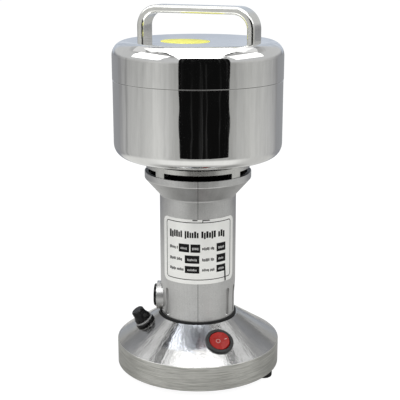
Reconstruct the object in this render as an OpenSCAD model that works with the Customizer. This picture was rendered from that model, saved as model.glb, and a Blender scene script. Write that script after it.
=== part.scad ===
// Electric spice grinder: a pressed bowl with a screw-on lid stands on a column that holds a
// universal motor, and the column stands on a turned conical base.
// Millimetres, +Z up. The origin is on the table, on the axis of the motor shaft.
// An azimuth is counted in degrees from the front (-Y) towards the right (+X).

/* [Bowl] */
// Outer radius of the grinding bowl
bowl_r = 69; // [64:0.5:76]
// Height of the bowl from its flat bottom to the seam under the lid
bowl_h = 63.2; // [55:0.1:80]
// Thickness of the pressed sheet of bowl and lid
sheet_t = 1.5; // [1:0.1:2]
// Radius of the flat bottom, where the rounded corner begins
bowl_flat_r = 54.5; // [50:0.5:58]
// Height of the rounded corner at the bottom
bowl_corner_h = 12.4; // [10:0.1:16]
// Fullness of the rounded corner, 2 for an ellipse
bowl_corner_power = 2.3; // [2:0.1:3]
// Height of the neck that stands inside the lid
neck_h = 12.4; // [10:0.1:16]
// Step from the bowl's wall in to its neck
neck_step = 3.6; // [3:0.1:5]

/* [Lid] */
// How far the lid's radius stands over the bowl's
lid_overhang = 0.25; // [0:0.05:1]
// Height of the lid's shell
lid_h = 30.6; // [28:0.1:40]
// Radius of the flat top
lid_flat_r = 56.5; // [50:0.5:60]
// Height of the rounded shoulder
lid_shoulder_h = 12.1; // [9:0.1:13]
// Fullness of the shoulder, 2 for an ellipse
lid_shoulder_power = 2.1; // [2:0.1:3]
// Thickness of the sealing ring
lid_gasket_t = 2.4; // [2:0.1:4]
// Width of the sealing ring
lid_gasket_w = 3.5; // [2.5:0.1:5]
// Length of the oval sticker on the lid
sticker_l = 40; // [30:1:50]
// Width of the oval sticker
sticker_w = 34; // [25:1:45]
// Thickness of the sticker
sticker_t = 0.3; // [0.2:0.05:0.5]

/* [Handle] */
// Span of the handle over its outer faces
handle_span = 103.5; // [90:0.5:108]
// Height of the handle above the lid
handle_h = 27.2; // [24:0.1:40]
// Thickness of the bar
handle_t = 6.3; // [4.5:0.1:7]
// Width of the bar
handle_w = 17.1; // [12:0.1:18]
// Outer radius of the bends
handle_bend_r = 17.5; // [12:0.5:20]
// Radius of the bar's rounded edges
handle_edge_r = 2.2; // [1:0.1:2.2]
// Azimuth that the handle's right end is turned towards the front
handle_turn = 26; // [0:1:90]

/* [Collar] */
// Outer radius of the vent collar
collar_r = 43.2; // [41:0.1:46]
// Height of the solid ring under the bowl
collar_ring_h = 8; // [7:0.1:11]
// Height of the open windows between collar and casing
window_h = 4.4; // [3:0.1:7]
// Radial width of the collar's ring
collar_w = 8.2; // [7:0.1:10]
// Thickness of the plate that carries the upper bearing
collar_plate_t = 2.6; // [2:0.1:4]
// Height of the thin slots at front and back
slot_h = 1.6; // [1:0.1:2.5]
// Angle of each post between the windows
post_angle = 12.6; // [10:0.1:20]

/* [Casing] */
// Radius of the column at its foot
foot_column_r = 31; // [29:0.1:34]
// How much wider the column is above the flutes
column_step = 0.8; // [0:0.1:2]
// How much wider the column grows up to the flare
column_draft = 0; // [0:0.1:1]
// Outer radius of the casing's upper lip
lip_r = 44.2; // [43.5:0.1:48]
// Height of the casing
casing_h = 123; // [118:0.1:135]
// Wall of the casing at the foot
casing_wall = 2.8; // [2.4:0.1:3.4]
// Height of the upper lip
lip_h = 5.3; // [4:0.1:8]
// Height of the flare
flare_h = 14.1; // [12:0.1:18]
// Thickness of the casing's floor
casing_floor_t = 4; // [3:0.1:6]
// Width of the flutes round the foot
flute_w = 4.2; // [3:0.1:6]
// Height of the flutes
flute_h = 25; // [20:0.1:27]
// Depth of the flutes
flute_depth = 1.3; // [0.8:0.1:1.8]
// Height of the rating plate
plate_h = 55; // [40:0.5:60]
// Angle that the rating plate covers
plate_angle = 121.7; // [90:0.1:140]
// Thickness of the rating plate
plate_t = 0.5; // [0.3:0.05:1]
// Corner radius of the rating plate
plate_corner_r = 5; // [2:0.5:8]

/* [Base] */
// Outer radius of the base
base_r = 69.1; // [66:0.1:76]
// Height of the brushed rim
rim_h = 20.5; // [14:0.1:24]
// Height of the cone above the rim
cone_h = 22.2; // [22:0.1:30]
// Radius of the cone's flat top
base_top_r = 33.8; // [32.5:0.1:36]
// Wall of the turned base
base_wall = 2.6; // [2:0.1:3.4]
// Bevel between rim and cone
rim_bevel = 0.5; // [0.3:0.1:1.5]
// Thickness of the bottom cover
cover_t = 1.6; // [1.2:0.1:2.5]
// Radius of the rubber feet
foot_r = 7; // [5:0.5:8]
// Height of the rubber feet
foot_h = 5; // [4:0.5:8]
// Thickness of the rubber ring between column and base
column_gasket_t = 1.3; // [1:0.1:3]
// Bore of the cord gland
gland_bore_r = 3.5; // [3:0.1:4]

/* [Switch] */
// Outer radius of the round bezel
bezel_r = 11.7; // [11.3:0.1:13]
// Height of the bezel
bezel_h = 2; // [1.5:0.1:3]
// Radius of the switch body behind the panel
switch_body_r = 9.95; // [9.7:0.05:10.3]
// Depth of the switch body
switch_depth = 13; // [12:0.5:18]
// Azimuth of the switch
switch_azimuth = 20.8; // [10:0.1:40]
// Angle that the rocker leans to each side
rocker_lean = 9; // [6:0.5:11]

/* [Fuse holder] */
// Azimuth of the fuse holder
fuse_azimuth = -80; // [-95:1:-60]
// Radius of the holder's flange
fuse_flange_r = 8.4; // [7.8:0.1:9]
// Radius of the holder's body behind the panel
fuse_body_r = 6; // [5.8:0.1:6.4]
// Length of the holder's body behind the panel
fuse_depth = 24; // [22:0.5:28]
// Radius of the cap at its foot
fuse_cap_r = 7.1; // [6.6:0.1:7.6]
// Radius of the cap at its tip
fuse_tip_r = 5.4; // [5:0.1:6]
// Height of the cap
fuse_cap_h = 10.2; // [9:0.1:13]
// Radius of the glass fuse
fuse_r = 2.6; // [2.4:0.05:2.8]
// Length of the glass fuse
fuse_l = 20; // [18:0.5:21]

/* [Brush access] */
// Azimuth of the round boss on the column's left side
boss_azimuth = -94; // [-100:1:-86]
// Radius of the boss
boss_r = 12.1; // [11.5:0.1:12.4]
// Distance of the boss's face from the column's axis
boss_reach = 34.9; // [33.5:0.1:38]
// Radius of the black brush cap
brush_cap_r = 9.6; // [9:0.1:10.2]
// How far the cap stands out of the boss
brush_cap_out = 2.5; // [1.5:0.1:3.5]
// Height of the brushes above the casing's bottom
brush_level = 12.2; // [12.2:0.1:14]

/* [Motor] */
// Radius of the shaft
shaft_r = 5; // [4.5:0.1:5.5]
// Radius of the shaft's ends in the lower bearing and under the nut
spigot_r = 4; // [3.6:0.1:4.2]
// Outer radius of the lower bearing
lower_bearing_r = 11; // [10.5:0.1:11.5]
// Height of the lower bearing
lower_bearing_h = 7; // [6:0.5:8]
// Outer radius of the upper bearing
upper_bearing_r = 13; // [12:0.1:13.5]
// Height of the upper bearing
upper_bearing_h = 8; // [7:0.5:9]
// Length of the armature's core
core_l = 35; // [30:0.5:40]
// Radius of the armature's core
core_r = 18; // [17:0.1:18.6]
// Air gap between armature and stator
air_gap = 0.6; // [0.5:0.1:1]
// Height of the core's middle above the casing's bottom
core_level = 63.2; // [60:0.1:66]
// Radius of the commutator
commutator_r = 11; // [10:0.1:12]
// Length of the commutator
commutator_l = 13; // [12:0.5:14]
// Radius of the fan
fan_r = 32.4; // [30:0.1:32.6]
// Height of the fan's vanes
vane_h = 13; // [9:0.5:13]

/* [Blades] */
// Gap between the blade tips and the bowl's wall
tip_gap = 7.5; // [5:0.5:12]
// Thickness of the blades
blade_t = 2.5; // [2:0.1:3]
// Width of the blades at the hub
blade_root_w = 22; // [20:0.5:26]
// Width of the blades at the tips
blade_tip_w = 13; // [10:0.5:18]
// Height between the two blades
blade_spacing = 10; // [8:0.5:14]
// Angle that the upper blade's tips bend up
upper_bend = 24; // [0:1:30]
// Angle that the lower blade's tips bend down
lower_bend = 4; // [0:1:6]

/* [Fits] */
// Radial clearance of screws in their holes
screw_gap = 0.1; // [0.05:0.01:0.2]
// Radial clearance of running shafts
run_gap = 0.05; // [0.02:0.01:0.09]
// Clearance of fixed pieces in their seats
seat_gap = 0.1; // [0.05:0.01:0.2]
// Gap between pieces that move apart
move_gap = 0.3; // [0.2:0.05:0.4]

/* [Hidden] */

// Overrun of every cut past the face that it opens
over = 1;
// Faces of a round surface
$fn = 96;

// Screws
screw_r = 2;
small_screw_r = 1.5;
head_r_share = 1.85;
head_h_share = 1.1;
head_rim_share = 0.35;
screw_tip_share = 0.7;
boss_share = 2;

// Bearings
shield_depth_share = 0.06;
shield_w_share = 0.28;

// Base, from the table up
base_z = foot_h;
rim_z = base_z + rim_h;
base_top_z = rim_z + cone_h;
cone_edge_r = base_r - rim_bevel;
cone_slope = cone_h / (cone_edge_r - base_top_r);
cone_tilt = atan(cone_slope);
cone_shift = base_wall / sin(cone_tilt);
rim_in_r = base_r - base_wall;
cover_seat_share = 0.75;
cover_seat_r = base_r - base_wall * cover_seat_share;
cover_r = cover_seat_r - seat_gap;
land_in_r = base_top_r - cone_shift + base_wall / cone_slope;
cone_len_r = cone_edge_r - base_top_r;
switch_place_share = 0.443;
fuse_place_share = 0.336;
gland_place_share = 0.62;
switch_place_r = base_top_r + cone_len_r * switch_place_share;
fuse_place_r = base_top_r + cone_len_r * fuse_place_share;
gland_place_r = base_top_r + cone_len_r * gland_place_share;
cover_screw_place_share = 0.87;
cover_screw_place_r = rim_in_r * cover_screw_place_share;
cover_screw_share = 0.6;
cover_pilot_share = 0.75;
cover_screw_azimuths = [46, 136, 226, 316];
pillar_share = 2.4;
pillar_r = screw_r * pillar_share;
cover_slot_count = 20;
cover_slot_w_share = 0.05;
cover_slot_in_share = 0.42;
cover_slot_out_share = 0.68;
cover_slot_w = cover_r * cover_slot_w_share;
cover_slot_in_r = cover_r * cover_slot_in_share;
cover_slot_out_r = cover_r * cover_slot_out_share;
// Azimuth and place of each foot: self-adhesive, and the front right one sits further out
foot_azimuths = [63, 153, 243, 333];
foot_place_shares = [0.9, 0.752, 0.752, 0.752];
foot_edge_share = 0.3;
foot_edge_r = foot_h * foot_edge_share;

// Gland
gland_wall = 3.6;
gland_body_r = gland_bore_r + gland_wall;
gland_flange_share = 1.2;
gland_flange_r = gland_body_r * gland_flange_share;
gland_flange_t = 2;
gland_edge = 0.8;
gland_nose_h = 6;
gland_tip_wall = 1.5;
gland_tip_r = gland_bore_r + gland_tip_wall;
gland_in_l = 5;

// Switch
switch_wall = 0.95;
rocker_ball_r = switch_body_r - switch_wall - move_gap;
wall_pin_r = 1.2;
pin_engage = 0.4;
pivot_drop = 2.6;
rocker_face_drop = 0.2;
rocker_belly = 4.6;
rocker_belly_r = sqrt(rocker_ball_r * rocker_ball_r - rocker_belly * rocker_belly);
rocker_reach = rocker_belly * cos(rocker_lean) + rocker_belly_r * sin(rocker_lean);
cavity_depth = pivot_drop + rocker_reach + move_gap;
bezel_edge_r = 0.8;
terminal_w = 4.8;
terminal_t = 0.8;
terminal_l = 8;
terminal_pitch = 8;
clip_w = 4;
clip_out = 0.9;
clip_h = 3;

// Fuse holder
fuse_flange_h = 2.2;
fuse_ring_h = 1;
fuse_flange_edge = 0.7;
fuse_ring_r = fuse_flange_r - fuse_flange_edge;
fuse_spigot_wall = 1.4;
fuse_spigot_r = fuse_r + move_gap + fuse_spigot_wall;
fuse_bore_r = fuse_spigot_r + move_gap;
fuse_nut_h = 3;
fuse_nut_share = 1.42;
fuse_nut_r = fuse_body_r * fuse_nut_share;
fuse_floor_t = 3;
fuse_cap_z = fuse_flange_h + fuse_ring_h + move_gap;
fuse_spigot_l = 9;
fuse_end_l = 5;
fuse_glass_share = 0.92;
cap_foot_share = 0.22;
cap_shoulder_share = 0.52;
cap_shoulder_r_share = 1.06;
cap_tip_share = 0.15;
cap_groove_share = 0.5;
cap_groove_count = 12;
cap_groove_r = 0.5;

// Casing, from its foot up
gasket_reach = 1.6;
column_z = base_top_z + column_gasket_t;
casing_top_z = column_z + casing_h;
column_r = foot_column_r + column_step;
column_top_r = column_r + column_draft;
casing_bore_r = foot_column_r - casing_wall;
lip_z = casing_top_z - lip_h;
flare_z = lip_z - flare_h;
ease_start_share = 0.133;
ease_end_share = 0.288;
ease_z0 = column_z + (flare_z - column_z) * ease_start_share;
ease_z1 = column_z + (flare_z - column_z) * ease_end_share;
ease_steps = 8;
casing_floor_z = column_z + casing_floor_t;
crease_r = 1.5;
lower_crease_r = 3;
cup_wall = 3;
cup_r = lower_bearing_r + cup_wall;
cup_lip_t = 1.1;
cup_lip_w = 3;
cup_hole_r = lower_bearing_r - cup_lip_w;
cup_rise_share = 0.5;
cup_z = column_z - cup_lip_t - lower_bearing_h + casing_floor_t * cup_rise_share;
cup_clear = 0.5;
flute_azimuths = [-155, -134.5, -75, -54.5, 52, 73, 93.5, 114, 134.5, 155];
flute_rise = 0.9;
flute_z = column_z + flute_h / 2 + flute_rise;
lip_wall = 3.2;
air_hole_r = 3.2;
air_hole_land = 1.5;
air_hole_place_r = cup_r + air_hole_r + air_hole_land;
base_screw_place_r = 22;
base_boss_r = screw_r * boss_share;
base_boss_h = 7;
base_screw_share = 0.6;
post_azimuths = [45, 135, 225, 315];
lip_boss_r = screw_r * boss_share;
lip_boss_h = 11;
lip_pilot_share = 0.8;
lip_screw_share = 0.7;
lip_boss_inset = 1;
collar_screw_place_r = lip_r - lip_boss_r - lip_boss_inset;
side_screw_inset = 4.2;
side_screw_y = casing_bore_r - side_screw_inset;
side_boss_r = 3.9;
side_screw_low_drop = 1;
side_screw_high_drop = 6;
side_screw_zs = [ease_z1 - side_screw_low_drop, flare_z - side_screw_high_drop];
side_seat_share = 0.4;
side_reach_share = 0.35;
side_seat_x = casing_bore_r * side_seat_share;
side_reach_x = casing_bore_r * side_reach_share;

// Rating plate
plate_azimuth = 1.55;
plate_middle_share = 0.592;
plate_mid_z = column_z + (flare_z - column_z) * plate_middle_share;
plate_z0 = plate_mid_z - plate_h / 2;
plate_z1 = plate_mid_z + plate_h / 2;
glue_t = 0.05;
// The corner's arc is a little wide, so it crosses the plate's edges and doesn't just touch them
corner_ease_share = 1.02;

// Brushes
brush_z = column_z + brush_level;
brush_w = 6.2;
brush_deep = 8.2;
brush_l = 9;
holder_r = 7.2;
holder_gap = 4;
holder_in_r = commutator_r + holder_gap;
brush_in_r = commutator_r + move_gap;
spring_in_r = brush_in_r + brush_l;
holder_out_r = casing_bore_r - seat_gap;
holder_end_wall = 1.2;
spring_out_r = holder_out_r - holder_end_wall;
cap_seat_depth = 1.5;
cap_seat_r = boss_reach - cap_seat_depth;
pad_r = 10;
pad_depth = 4;
pad_sink_share = 0.33;
pad_in_r = casing_bore_r - pad_depth;
cap_plug_r = brush_w / 2 - seat_gap;
cap_slot_w = 1.6;
cap_slot_depth = 1;
cap_slot_share = 0.8;
brush_cap_edge_share = 0.3;
spring_wire_r = 0.35;
spring_coil_r = 2.3;
spring_turns = 5;

// Collar
collar_z = casing_top_z + window_h;
bowl_z = collar_z + collar_ring_h;
collar_in_r = collar_r - collar_w;
collar_plate_z = bowl_z - collar_plate_t;
slot_angle = 90 - post_angle;
bridge_t = 2.6;
hub_wall = 3.5;
hub_r = upper_bearing_r + hub_wall;
hub_hole_gap = 3;
hub_in_r = shaft_r + hub_hole_gap;
hub_overhang = 0.5;
bearing_drop = 2.3;
upper_bearing_z = collar_plate_z - upper_bearing_h - bearing_drop;
hub_lip_z = upper_bearing_z + upper_bearing_h;
seal_w = 4;
seal_r = shaft_r + seal_w;
seal_lip_share = 0.3;
seal_wall = 3;
seal_boss_r = seal_r + seal_wall;
seal_boss_h = 6;
seal_sink = 1.4;
seal_z = bowl_z - seal_sink;
bowl_hole_r = seal_boss_r + move_gap;
bowl_screw_gap = 7.5;
bowl_screw_place_r = hub_r + bowl_screw_gap;
head_sink_share = 0.6;

// Bowl and lid
seam_z = bowl_z + bowl_h;
neck_r = bowl_r - neck_step;
neck_top_z = seam_z + neck_h;
lid_z = seam_z + move_gap;
lid_r = bowl_r + lid_overhang;
lid_top_z = lid_z + lid_h;
lid_gasket_z = neck_top_z + move_gap;
ring_r = lid_r - sheet_t - seat_gap;
ring_in_r = neck_r + move_gap;
ring_inset = 1.2;
ring_z = lid_z + ring_inset;
ring_flange_z = lid_gasket_z + lid_gasket_t + move_gap;
ring_flange_t = 1.5;
ring_flange_reach = 1.3;
ring_flange_in_r = neck_r - lid_gasket_w - ring_flange_reach;
corner_steps = 14;
// Place of the sticker's middle on the lid, as shares of the flat top
sticker_x_share = -0.177;
sticker_y_share = -0.23;

// Handle
handle_foot_x = handle_span / 2 - handle_t / 2;
handle_screw_l = 12;
handle_screw_share = 0.9;

// Shaft, rotor and blades
shaft_z = cup_z + cup_lip_t;
shoulder_gap = 2;
shoulder_z = shaft_z + lower_bearing_h + shoulder_gap;
shaft_tip_share = 0.2;
flange_z = bowl_z + seal_boss_h + move_gap;
flange_w = 3;
flange_r = shaft_r + flange_w;
flange_t = 1.5;
lower_blade_z = flange_z + flange_t;
spacer_z = lower_blade_z + blade_t;
upper_blade_z = spacer_z + blade_spacing;
washer_z = upper_blade_z + blade_t;
washer_t = 1.2;
nut_z = washer_z + washer_t;
nut_h = 6.5;
nut_flat = 13;
nut_dome_h = 4;
shaft_end_z = nut_z + nut_h;
core_z = column_z + core_level - core_l / 2;
core_slot_count = 12;
core_slot_r = 2;
core_slot_gap = 1.2;
core_slot_depth = 3.2;
core_slot_place_r = core_r - core_slot_depth;
head_l = 10;
head_inset = 1.4;
head_out_r = core_r - head_inset;
head_edge_r = 3;
commutator_z = brush_z - commutator_l / 2;
commutator_bars = 24;
bar_gap = 0.5;
bar_depth = 1;
riser_h = 2;
riser_w = 1.4;
riser_r = commutator_r + riser_w;
stator_r = casing_bore_r - seat_gap;
stator_bore_r = core_r + air_gap;
stator_reach = 3;
stator_l = core_l + 2 * stator_reach;
stator_z = core_z - stator_reach;
yoke_w = 2.7;
coil_out_r = stator_r - yoke_w - seat_gap;
coil_gap = 1;
coil_in_r = stator_bore_r + coil_gap;
coil_head_h = 7;
coil_edge_r = 1.4;
pole_angle = 52;
coil_angle = 70;
fan_rise = 10;
fan_z = flare_z + fan_rise;
fan_disc_t = 1.5;
fan_hub_wall = 4;
fan_hub_r = shaft_r + fan_hub_wall;
fan_hub_h = 7;
vane_count = 12;
vane_t = 1.3;
vane_gap = 2;
vane_in_r = hub_r + vane_gap;
vane_sweep = 28;
tip_r = bowl_r - sheet_t - tip_gap;
blade_hub_r = 12;
bend_share = 0.62;
tip_corner = 5;
bevel_w = 3;
edge_land = 0.3;
bevel_reach_share = 0.5;

// Height of the cone's surface at a radius
function cone_z(r) = base_top_z - cone_slope * (r - base_top_r);
// How far the cone falls away from a flat disc of radius x laid on it at radius r
function cone_sag(x, r) = x * x * sin(cone_tilt) / (2 * r);
// Radius of the column at a height above the eased step
function column_at(z) = column_r + column_draft * (z - ease_z1) / (flare_z - ease_z1);
// A quarter of a superellipse about [r, z] with half axes a and b; b below zero points down
function quarter(r, z, a, b, power) = [
    for (i = [0:corner_steps])
        let (q = 90 * i / corner_steps)
        [r + a * pow(cos(q), 2 / power), z + b * pow(sin(q), 2 / power)]
];
// The same list from its last point to its first
function backwards(points) = [for (i = [len(points) - 1:-1:0]) points[i]];
// Smooth step of the column between foot and shaft of the casing
function column_ease() = [
    for (i = [0:ease_steps])
        let (s = i / ease_steps)
        [foot_column_r + column_step * (1 - cos(180 * s)) / 2, ease_z0 + (ease_z1 - ease_z0) * s]
];
// Small arc that eases the corner b of the outline a, b, c
function eased(a, b, c, radius) =
    let (
        u = (a - b) / norm(a - b),
        v = (c - b) / norm(c - b),
        half = acos(u * v) / 2,
        reach = radius / tan(half),
        middle = b + (u + v) / norm(u + v) * radius / sin(half),
        p = b + u * reach,
        q = b + v * reach,
        a0 = atan2(p[1] - middle[1], p[0] - middle[0]),
        turn = atan2(q[1] - middle[1], q[0] - middle[0]) - a0,
        sweep = turn > 180 ? turn - 360 : turn < -180 ? turn + 360 : turn
    )
    [for (i = [0:4]) middle + radius * [cos(a0 + sweep * i / 4), sin(a0 + sweep * i / 4)]];
// Rings of a coil spring along Z
function coil_rings(coil_r, height, turns, steps) = [
    for (i = [0:turns * steps])
        let (q = 360 * i / steps)
        [coil_r * cos(q), coil_r * sin(q), height * i / (turns * steps)]
];

// Turns children from the front to an azimuth
module at_azimuth(azimuth) {
    rotate([0, 0, azimuth]) children();
}

// Lays children on the cone: local Z is the outward normal, X the rim's direction, Y up the slope
module on_cone(azimuth, r) {
    at_azimuth(azimuth) translate([0, -r, cone_z(r)]) rotate([cone_tilt, 0, 0]) children();
}

// Points children outwards along a radius: local Z runs from the axis, Y stays upright
module along_radius(azimuth, z) {
    at_azimuth(azimuth) translate([0, 0, z]) rotate([90, 0, 0]) children();
}

// Ring sector about Z between two radii and heights, centred on an azimuth
module sector(in_r, out_r, height, angle, azimuth) {
    rotate([0, 0, azimuth - 90 - angle / 2])
        rotate_extrude(angle = angle)
            translate([in_r, 0])
                square([out_r - in_r, height]);
}

// Flat ring
module ring(in_r, out_r, height) {
    difference() {
        cylinder(r = out_r, h = height);
        translate([0, 0, -over]) cylinder(r = in_r, h = height + 2 * over);
    }
}

// Pan-head screw: the head stands on z = 0, the shank hangs below
module pan_screw(r, length) {
    head_r = r * head_r_share;
    head_h = r * head_h_share;
    head_side = head_h * head_rim_share;
    rotate_extrude()
        polygon(concat(
            [[0, -length], [r * screw_tip_share, -length], [r, -length + r * (1 - screw_tip_share)]],
            [[r, 0], [head_r, 0]],
            [for (i = [0:5]) [head_r * cos(i * 15), head_side + (head_h - head_side) * sin(i * 15) / sin(75)]],
            [[0, head_h]]
        ));
}

// Countersunk screw: the head's flat face lies on z = 0, the shank hangs below
module flat_screw(r, length) {
    head_r = r * head_r_share;
    rotate_extrude()
        polygon([
            [0, -length], [r * screw_tip_share, -length], [r, -length + r * (1 - screw_tip_share)],
            [r, r - head_r], [head_r, 0], [0, 0]
        ]);
}

// Hole for a countersunk screw
module flat_screw_hole(r, length) {
    head_r = r * head_r_share + screw_gap;
    translate([0, 0, -length]) cylinder(r = r + screw_gap, h = length + over);
    translate([0, 0, -head_r + r + screw_gap])
        cylinder(r1 = r + screw_gap, r2 = head_r, h = head_r - r - screw_gap);
    cylinder(r = head_r, h = over);
}

// Outline of an upright slot with round ends
module slot_outline(width, height) {
    square([width, height - width], center = true);
    for (side = [-1, 1]) translate([0, side * (height - width) / 2]) circle(d = width, $fn = 32);
}

// Ball bearing with a shallow shield on each face
module bearing(bore_r, outer_r, height) {
    shield_depth = height * shield_depth_share;
    shield_w = (outer_r - bore_r) * shield_w_share;
    rotate_extrude()
        polygon([
            [bore_r, 0], [bore_r + shield_w, 0], [bore_r + shield_w, shield_depth],
            [outer_r - shield_w, shield_depth], [outer_r - shield_w, 0], [outer_r, 0],
            [outer_r, height], [outer_r - shield_w, height], [outer_r - shield_w, height - shield_depth],
            [bore_r + shield_w, height - shield_depth], [bore_r + shield_w, height], [bore_r, height]
        ]);
}

// Solid cone and rim of the base, drawn in by a distance along the radius
module base_form(inset) {
    rotate_extrude()
        polygon([
            [0, base_z], [base_r - inset, base_z], [base_r - inset, rim_z - rim_bevel],
            [cone_edge_r - inset, rim_z], [base_top_r - inset, base_top_z], [0, base_top_z]
        ]);
}

module base_shell() {
    color("gainsboro") difference() {
        union() {
            rotate_extrude()
                polygon([
                    [cup_r + cup_clear, base_top_z], [base_top_r, base_top_z], [cone_edge_r, rim_z],
                    [base_r, rim_z - rim_bevel], [base_r, base_z], [cover_seat_r, base_z],
                    [cover_seat_r, base_z + cover_t + seat_gap], [rim_in_r, base_z + cover_t + seat_gap],
                    [rim_in_r, base_top_z - cone_slope * (rim_in_r - base_top_r + cone_shift)],
                    [land_in_r, base_top_z - base_wall], [cup_r + cup_clear, base_top_z - base_wall]
                ]);
            intersection() {
                base_form(cone_shift / 2);
                for (azimuth = cover_screw_azimuths)
                    at_azimuth(azimuth)
                        translate([0, -cover_screw_place_r, base_z + cover_t + seat_gap])
                            cylinder(r = pillar_r, h = rim_h + cone_h);
            }
        }
        for (azimuth = cover_screw_azimuths)
            at_azimuth(azimuth)
                translate([0, -cover_screw_place_r, base_z])
                    cylinder(r = screw_r + screw_gap, h = rim_h * cover_pilot_share);
        for (azimuth = post_azimuths)
            at_azimuth(azimuth)
                translate([0, -base_screw_place_r, base_top_z - base_wall - over])
                    cylinder(r = screw_r + screw_gap, h = base_wall + 2 * over);
        for (azimuth = [0, 90, 180, 270])
            at_azimuth(azimuth)
                translate([0, -air_hole_place_r, base_top_z - base_wall - over])
                    cylinder(r = air_hole_r, h = base_wall + 2 * over);
        panel_cut(switch_azimuth, switch_place_r, switch_body_r + seat_gap);
        panel_cut(fuse_azimuth, fuse_place_r, fuse_body_r + seat_gap);
        panel_cut(180, gland_place_r, gland_body_r + seat_gap);
    }
}

// Round hole square to the cone
module panel_cut(azimuth, place_r, r) {
    on_cone(azimuth, place_r)
        translate([0, 0, -base_wall - cone_sag(r, place_r) - over])
            cylinder(r = r, h = base_wall + cone_sag(r, place_r) + 2 * over);
}

module bottom_cover() {
    color("dimgray") difference() {
        translate([0, 0, base_z]) cylinder(r = cover_r, h = cover_t);
        for (azimuth = cover_screw_azimuths)
            at_azimuth(azimuth)
                translate([0, -cover_screw_place_r, base_z])
                    mirror([0, 0, 1]) flat_screw_hole(screw_r, cover_t + over);
        for (i = [0:cover_slot_count - 1])
            rotate([0, 0, 360 * i / cover_slot_count])
                translate([(cover_slot_in_r + cover_slot_out_r) / 2, 0, base_z - over])
                    rotate([0, 0, 90])
                        linear_extrude(cover_t + 2 * over)
                            slot_outline(cover_slot_w, cover_slot_out_r - cover_slot_in_r);
    }
}

module cover_screws() {
    color("silver")
        for (azimuth = cover_screw_azimuths)
            at_azimuth(azimuth)
                translate([0, -cover_screw_place_r, base_z])
                    mirror([0, 0, 1]) flat_screw(screw_r, rim_h * cover_screw_share);
}

module feet() {
    color("black")
        for (i = [0:len(foot_azimuths) - 1])
            at_azimuth(foot_azimuths[i])
                translate([0, -foot_place_shares[i] * base_r, 0])
                    rotate_extrude()
                        polygon(concat(
                            [[0, 0]],
                            [for (j = [0:6]) [
                                foot_r - foot_edge_r + foot_edge_r * sin(j * 15),
                                foot_edge_r - foot_edge_r * cos(j * 15)
                            ]],
                            [[foot_r, foot_h], [0, foot_h]]
                        ));
}

module cord_gland() {
    color("black") on_cone(180, gland_place_r)
        difference() {
            union() {
                rotate_extrude()
                    polygon([
                        [0, 0], [gland_flange_r, 0], [gland_flange_r, gland_flange_t - gland_edge],
                        [gland_flange_r - gland_edge, gland_flange_t],
                        [gland_body_r, gland_flange_t], [gland_tip_r, gland_flange_t + gland_nose_h],
                        [0, gland_flange_t + gland_nose_h]
                    ]);
                translate([0, 0, -base_wall - gland_in_l])
                    cylinder(r = gland_body_r, h = base_wall + gland_in_l);
            }
            translate([0, 0, -base_wall - gland_in_l - over])
                cylinder(r = gland_bore_r, h = base_wall + gland_in_l + gland_flange_t + gland_nose_h + 2 * over);
        }
}

module switch_housing() {
    cavity_r = rocker_ball_r + move_gap;
    pin_hole_l = 2 * (cavity_r + pin_engage + 2 * seat_gap);
    color([0.12, 0.12, 0.12]) on_cone(switch_azimuth, switch_place_r)
        difference() {
            union() {
                rotate_extrude()
                    polygon(concat(
                        [[0, -switch_depth], [switch_body_r, -switch_depth], [switch_body_r, 0], [bezel_r, 0]],
                        [for (i = [0:6]) [
                            bezel_r - bezel_edge_r + bezel_edge_r * cos(i * 15),
                            bezel_h - bezel_edge_r + bezel_edge_r * sin(i * 15)
                        ]],
                        [[0, bezel_h]]
                    ));
                for (side = [-1, 1])
                    translate([-clip_w / 2, side > 0 ? 0 : -switch_body_r - clip_out,
                               -base_wall - seat_gap - clip_h])
                        cube([clip_w, switch_body_r + clip_out, clip_h]);
            }
            translate([0, 0, bezel_h - cavity_depth]) cylinder(r = cavity_r, h = cavity_depth + over);
            translate([0, 0, bezel_h - pivot_drop])
                rotate([90, 0, 0])
                    cylinder(r = wall_pin_r + run_gap, h = pin_hole_l, center = true, $fn = 48);
        }
}

module rocker() {
    color("red") on_cone(switch_azimuth, switch_place_r)
        translate([0, 0, bezel_h - pivot_drop]) rotate([0, -rocker_lean, 0]) {
            intersection() {
                sphere(r = rocker_ball_r);
                rotate([90, 0, 0])
                    linear_extrude(2 * rocker_ball_r, center = true)
                        polygon([
                            [-rocker_ball_r, -rocker_belly], [rocker_ball_r, -rocker_belly],
                            [rocker_ball_r, rocker_top(rocker_ball_r)], [0, rocker_top(0)],
                            [-rocker_ball_r, rocker_top(rocker_ball_r)]
                        ]);
            }
            rotate([90, 0, 0])
                cylinder(r = wall_pin_r, h = 2 * (rocker_ball_r + move_gap + pin_engage), center = true, $fn = 48);
        }
}

// Height of the rocker's face above its pivot
function rocker_top(x) = pivot_drop - rocker_face_drop + x * tan(rocker_lean);

module switch_terminals() {
    color("goldenrod") on_cone(switch_azimuth, switch_place_r)
        for (side = [-1, 1])
            translate([side * terminal_pitch / 2, 0, -switch_depth - terminal_l / 2])
                cube([terminal_t, terminal_w, terminal_l], center = true);
}

module fuse_holder() {
    color("black") on_cone(fuse_azimuth, fuse_place_r)
        difference() {
            rotate_extrude()
                polygon([
                    [0, -fuse_depth], [fuse_body_r, -fuse_depth], [fuse_body_r, 0], [fuse_flange_r, 0],
                    [fuse_flange_r, fuse_flange_h - fuse_flange_edge], [fuse_ring_r, fuse_flange_h],
                    [0, fuse_flange_h]
                ]);
            translate([0, 0, -fuse_depth + fuse_floor_t])
                cylinder(r = fuse_bore_r, h = fuse_depth + fuse_flange_h);
        }
}

module fuse_holder_ring() {
    color("gray") on_cone(fuse_azimuth, fuse_place_r)
        translate([0, 0, fuse_flange_h]) ring(fuse_bore_r, fuse_ring_r, fuse_ring_h);
}

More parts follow.
